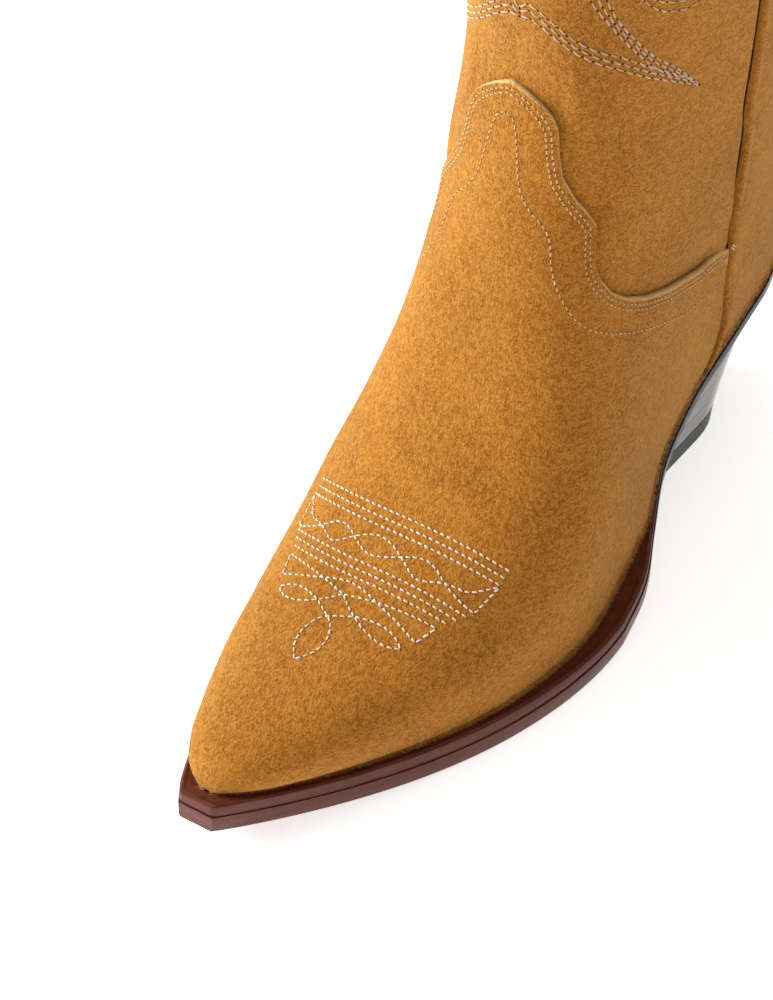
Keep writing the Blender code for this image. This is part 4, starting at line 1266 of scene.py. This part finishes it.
def stations(first, last, count, close_back):
    t = np.linspace(0, 1, count)
    if close_back:
        t = (1 - np.cos(math.pi * t)) / 2
    else:
        t = 1 - np.cos(math.pi / 2 * t)
    return first + (last - first) * t


def make_outsole():
    q = stations(0, LENGTH - 0.15, 240, True)
    profile = [(0.5, 0.0), (0.175, 0.05), (0.0, 0.16), (0.0, 0.84), (0.007, 0.95), (0.02, 1.0)]
    low = sole_bottom(q)
    thick = outsole_thick(q)
    right = edge(q, 1)
    left = edge(q, -1)
    half = (right - left) / 2
    channel = [(5.0, 0.0), (5.25, 0.25), (5.5, 0.0)]
    deep_enough = half > 6.5
    rings = []
    for inset, share in profile:
        rings.append((right - np.minimum(inset, 0.8 * half), low + thick * share))
    for share in np.linspace(0.08, 0.92, 9):
        rings.append((right + (left - right) * share, low + thick))
    for inset, share in profile[::-1]:
        rings.append((left + np.minimum(inset, 0.8 * half), low + thick * share))
    for inset, depth in channel:
        rings.append((left + np.minimum(inset, 0.75 * half), low + depth * deep_enough))
    for share in np.linspace(0.2, 0.8, 7):
        rings.append((left + (right - left) * share, low))
    for inset, depth in channel[::-1]:
        rings.append((right - np.minimum(inset, 0.75 * half), low + depth * deep_enough))
    points = np.stack([np.stack([x, q - LENGTH, z], 1) for x, z in rings], 1)
    tube("outsole_leather", points, [SOLE], slot="sole_leather", stands_for=["outsole"])


def strip(name, outer, inner, look, ridge, stands_for):
    """A strip of sole leather between two lines of (x, q), its outer top edge bevelled."""
    outer = np.asarray(outer)
    inner = np.asarray(inner)
    way = inner - outer
    reach = np.linalg.norm(way, axis=1, keepdims=True)
    way = way / reach
    profile = [(0.05, 0.0, -0.28), (0.0, 0.02, 0.0), (0.0, 0.80, 0.0), (0.22, 0.92, 0.0), (0.75, 1.0, -0.02)]
    profile += [(1.15, 1.0, ridge), (1.6, 1.0, ridge), (2.0, 1.0, -0.05), (3.2, 1.0, -0.10)]
    rings = []
    for inset, share, lift in profile:
        place = outer + way * np.minimum(inset, reach * 0.8)
        low = above_outsole(place[:, 1])
        high = sole_top(place[:, 1])
        rings.append(np.stack([place[:, 0], place[:, 1] - LENGTH, low + (high - low) * share + lift], 1))
    for share in (1.0, 0.0):
        low = above_outsole(inner[:, 1])
        high = sole_top(inner[:, 1]) - 0.12
        rings.append(np.stack([inner[:, 0], inner[:, 1] - LENGTH, low + (high - low) * share], 1))
    tube(name, np.stack(rings, 1), [look], slot="sole_leather", stands_for=stands_for)


def resampled(line, count, rounds):
    """A line of points at even distances, with its corners softened."""
    at = arc_lengths(line)
    dense = np.linspace(0, at[-1], count)
    made = np.stack([np.interp(dense, at, line[:, k]) for k in range(line.shape[1])], 1)
    for _ in range(rounds):
        made[1:-1] = (made[:-2] + 2 * made[1:-1] + made[2:]) / 4
    return made


def make_strip(name, outer, inner, count, rounds, ridge, stands_for):
    both = resampled(np.concatenate([np.array(outer), np.array(inner)], 1), count, rounds)
    strip(name, both[:, :2], both[:, 2:], WELT, ridge, [stands_for])


def make_welt():
    """The welt, from the outer side round the toe to the inner side."""
    q = stations(WELT_FROM, WELT_END, 160, False)
    outer = [(float(edge(a, 1)) - WELT_INSET, a) for a in q[::-1]]
    outer += [(float(edge(a, -1)) + WELT_INSET, a) for a in q]
    run = WELT_END - WELT_FROM
    reach = WELT_FROM + TOE_DEEP + (run - TOE_DEEP) * (q - WELT_FROM) / run
    half = [max((float(edge(a, 1)) - float(edge(a, -1))) / 2 - WELT_WIDE, 1.4) for a in reach]
    middle = [(float(edge(a, 1)) + float(edge(a, -1))) / 2 for a in reach]
    inner = [(m + h, a) for m, h, a in zip(middle, half, reach)][::-1]
    inner += [(m - h, a) for m, h, a in zip(middle, half, reach)]
    make_strip("welt_leather", outer, inner, 720, 2, 0.16, "welt")


def make_heel_rand():
    """The strip round the heel seat, from the end of the welt on one side to its end on the other."""
    outer = []
    inner = []
    straight = np.linspace(WELT_END + 0.3, SEAT_FROM - 6, 30)
    for a in straight:
        outer.append((float(edge(a, 1)) - WELT_INSET, a))
        inner.append((float(edge(a, 1)) - RAND_WIDE, a))
    for t in np.linspace(0, math.pi, 121)[1:-1]:
        deep = abs(math.sin(t)) ** (2 / SEAT_POWER)
        wide = math.cos(t)
        outer.append((wide * RAND_HALF, SEAT_FROM + deep * RAND_DEEP))
        inner.append((wide * RAND_HALF_INSIDE, SEAT_FROM + deep * RAND_DEEP_INSIDE))
    for a in straight[::-1]:
        outer.append((float(edge(a, -1)) + WELT_INSET, a))
        inner.append((float(edge(a, -1)) + RAND_WIDE, a))
    make_strip("heel_rand_leather", outer, inner, 260, 3, 0.0, "heel_rand")


def inside_rows(first, last, count, cut):
    """Rows (q, right x, left x) of a sole that lies inside the boot, cut in from the outsole's edge."""
    rows = []
    for a in stations(first, last, count, True):
        reach = (a - first) / (last - first)
        nose = math.sqrt(max(1 - max(1 - reach / 0.06, 0) ** 2, 0.04))
        tail = math.sqrt(max(1 - max((reach - 0.86) / 0.14, 0) ** 2.1, 0.012))
        along = min(a, SEAT_FROM)
        middle = float(edge(along, 1) + edge(along, -1)) / 2
        waist = cut + 2.6 * float(ease(a, 105, 132) * (1 - ease(a, 172, 200)))
        half = (float(edge(along, 1) - edge(along, -1)) / 2 - waist) * min(nose, tail)
        rows.append((a, middle + half, middle - half))
    return np.array(rows)


def make_inside_soles():
    for name, node_name, first, last, cut, low, high, look, slot in (
        ("insole_leather", "insole", 17, 262.0, 10.6, 0.3, 2.4, INSOLE, "insole_board"),
        ("sock_liner_leather", "sock_liner", 22, 260.5, 11.4, 2.7, 3.7, LINING, "lining_leather"),
    ):
        rows = inside_rows(first, last, 150, cut)
        q, right, left = rows.T
        rings = []
        for share in np.linspace(0, 1, 15):
            sag = 0.25 * math.sin(math.pi * share)
            rings.append((right + (left - right) * share, sole_top(q) + high - 0.25 + sag))
        for share in (1.0, 0.5, 0.0):
            rings.append((right + (left - right) * share, sole_top(q) + low))
        points = np.stack([np.stack([x, q - LENGTH, z], 1) for x, z in rings], 1)
        tube(name, points, [look], slot=slot, stands_for=[node_name])


# Heel


def heel_outline(z):
    """The heel's outline at height z: straight breast at the front, round at the back."""
    count = 70
    t = min(z / HEEL_RISE, 1)
    front = HEEL_FRONT + 7.2 * z / 27
    back = HEEL_BACK + (LENGTH - 0.4 - HEEL_BACK) * t**1.55
    half_front = 23.2 + 6.6 * t**1.2
    half_back = 24.2 + 6.0 * t**1.5
    a = np.sin(math.pi / 2 * np.arange(count) / (count - 1))
    half = half_front + (half_back - half_front) * np.minimum(a * 1.6, 1)
    half = half * np.sqrt(np.maximum(1 - np.maximum((a - 0.45) / 0.55, 0) ** SEAT_POWER, 0))
    right = np.stack([half, front + (back - front) * a], 1)
    return np.concatenate([right, right[-2::-1] * [-1, 1]])


def shrunk(ring, inset):
    """The outline with a small inset, towards its middle."""
    middle = (ring.max(0) + ring.min(0)) / 2
    size = (ring.max(0) - ring.min(0)) / 2
    return middle + (ring - middle) * (1 - inset / size)


def heel_layer(name, low, high, look, slot, stands_for, inset):
    """One lift of the heel, its edges eased by inset."""
    steps = [(0.0, inset), (0.18, 0.05), (0.45, 0.0)]
    heights = [(low + rise, cut) for rise, cut in steps]
    heights += [(z, 0.0) for z in np.linspace(low + 0.8, high - 0.8, 5)]
    heights += [(high - rise, cut) for rise, cut in steps[::-1]]
    rings = []
    for z, cut in heights:
        ring = shrunk(heel_outline(z), cut)
        rings.append(np.concatenate([ring - [0, LENGTH], np.full((len(ring), 1), z)], 1))
    tube(name, np.array(rings), [look], slot=slot, stands_for=[stands_for])


def make_wedge(low):
    """The top of the stack, cut to the slope of the seat."""
    bottom = heel_outline(low)
    z = np.full(len(bottom), low)
    for _ in range(40):
        place = np.array([heel_outline(h)[k] for k, h in enumerate(z)])
        z = 0.5 * z + 0.5 * (sole_bottom(place[:, 1]) - LAYER_GAP)
    z = np.maximum(z, low + LIFT_GAP)
    rings = []
    for share in (0.0, 0.04, 0.2, 0.4, 0.6, 0.8, 1.0):
        height = low + (z - low) * share
        ring = np.array([heel_outline(h)[k] for k, h in enumerate(height)])
        if share == 0.0:
            ring = shrunk(ring, 0.05)
        rings.append(np.concatenate([ring - [0, LENGTH], height[:, None]], 1))
    points = np.array(rings)
    rows, columns = points.shape[:2]
    face = quads_of(rows, columns, close_columns=True)
    last = (rows - 1) * columns
    middle = last + columns // 2
    end = last + columns - 1
    cover = [(last + i, last + i + 1, end - 1 - i, end - i) for i in range(columns // 2 - 1)]
    tip = [(middle - 1, middle, middle + 1)]
    groups = [(face, 0), ([tuple(range(columns - 1, -1, -1))], 0), (cover, 0), (tip, 0)]
    make_piece(
        "heel_wedge_leather", points.reshape(-1, 3), groups, [HEEL], slot="heel_leather",
        stands_for=["heel_wedge_lift"],
    )


def make_heel():
    heel_layer("top_lift_rubber_tread", 0.0, TOP_LIFT, RUBBER, "top_lift_rubber", "top_lift", 0.4)
    low = TOP_LIFT + LIFT_GAP
    for number in (1, 2, 3):
        name = "heel_lift_%d" % number
        heel_layer(name + "_leather", low, low + LIFT - 0.02, HEEL, "heel_leather", name, 0.05)
        low += LIFT + 0.05
    make_wedge(low)


RUBBER = plain_look("black_rubber", (0.008, 0.006, 0.005, 1), (0.022, 0.017, 0.014, 1), 0.45, 700)
INSOLE = plain_look("insole_board_look", (0.40, 0.27, 0.15, 1), (0.56, 0.41, 0.25, 1), 0.8, 500)
CORK = plain_look("pressed_cork", (0.20, 0.12, 0.06, 1), (0.52, 0.37, 0.22, 1), 0.9, 420)
STEEL = plain_look(
    "tempered_steel", (0.42, 0.42, 0.43, 1), (0.62, 0.62, 0.63, 1), 0.32, 160, metallic=1.0, bump=0.05
)
STIFFENER = plain_look("stiffener_board", (0.62, 0.58, 0.48, 1), (0.80, 0.76, 0.66, 1), 0.85, 900)


def dress_hidden_nodes():
    """Better looks for the CAD pieces that stay: those sealed inside the boot."""
    looks = {"cork_filler": CORK, "steel_shank": STEEL, "toe_box": STIFFENER, "heel_counter": STIFFENER}
    for name, look in looks.items():
        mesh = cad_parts[name].data
        if not mesh.materials:
            mesh.materials.append(look)
        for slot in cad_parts[name].material_slots:
            slot.material = look


# Stage


def aim(obj, place, target, roll=0.0):
    """Points an object's -Z axis from place to target."""
    way = (Vector(target) - Vector(place)).normalized()
    right = way.cross(Vector((0, 0, 1))).normalized()
    up = right.cross(way)
    turned = right * math.cos(roll) + up * math.sin(roll)
    up = turned.cross(way)
    rows = Matrix((turned, up, -way)).transposed().to_4x4()
    rows.translation = Vector(place)
    obj.matrix_world = rows


def add_camera():
    data = bpy.data.cameras.new("camera")
    data.lens = CAMERA_LENS
    data.sensor_width = 36.0
    data.clip_end = 20.0
    camera = bpy.data.objects.new("camera", data)
    bpy.context.scene.collection.objects.link(camera)
    turn = math.radians(CAMERA_TURN)
    tilt = math.radians(CAMERA_TILT)
    place = np.array(CAMERA_PLACE)
    way = np.array([-math.sin(turn) * math.cos(tilt), math.cos(turn) * math.cos(tilt), -math.sin(tilt)])
    aim(camera, place, place + way, math.radians(CAMERA_ROLL))
    bpy.context.scene.camera = camera


def add_light(name, place, target, size, energy, colour):
    data = bpy.data.lights.new(name, "AREA")
    data.shape = "RECTANGLE"
    data.size = size[0]
    data.size_y = size[1]
    data.energy = energy
    data.color = colour
    light = bpy.data.objects.new(name, data)
    bpy.context.scene.collection.objects.link(light)
    aim(light, place, target)


def add_stage():
    world = bpy.data.worlds.new("studio")
    bpy.context.scene.world = world
    world.use_nodes = True
    world.node_tree.nodes["Background"].inputs["Color"].default_value = (1.0, 0.96, 0.90, 1)
    world.node_tree.nodes["Background"].inputs["Strength"].default_value = 0.34
    mesh = bpy.data.meshes.new("studio_floor")
    size = 8.0
    corners = [(-size, -size, 0), (size, -size, 0), (size, size, 0), (-size, size, 0)]
    mesh.from_pydata(corners, [], [(0, 1, 2, 3)])
    look, tree, shader = new_look(
        "white_floor", Roughness=0.75, Specular_IOR_Level=0.1, Emission_Color=(1, 1, 1, 1),
        Emission_Strength=0.68,
    )
    tone = noise(tree, 3, 2)
    tree.links.new(mix(tree, tone, (0.90, 0.90, 0.90, 1), (0.92, 0.92, 0.92, 1)), shader.inputs["Base Color"])
    mesh.materials.append(look)
    floor = bpy.data.objects.new("studio_floor", mesh)
    bpy.context.scene.collection.objects.link(floor)
    for softbox in SOFTBOXES:
        add_light(*softbox)
    bpy.context.scene.view_settings.view_transform = "Standard"


def main():
    add_camera()
    make_vamp()
    make_shaft_front()
    make_shaft_back()
    make_pipings()
    make_linings()
    make_binding()
    make_straps()
    make_edge_stitching()
    make_medallion()
    make_shaft_stitching()
    make_feather_line()
    make_nap()
    make_outsole()
    make_welt()
    make_heel_rand()
    make_inside_soles()
    make_heel()
    dress_hidden_nodes()
    add_stage()


main()
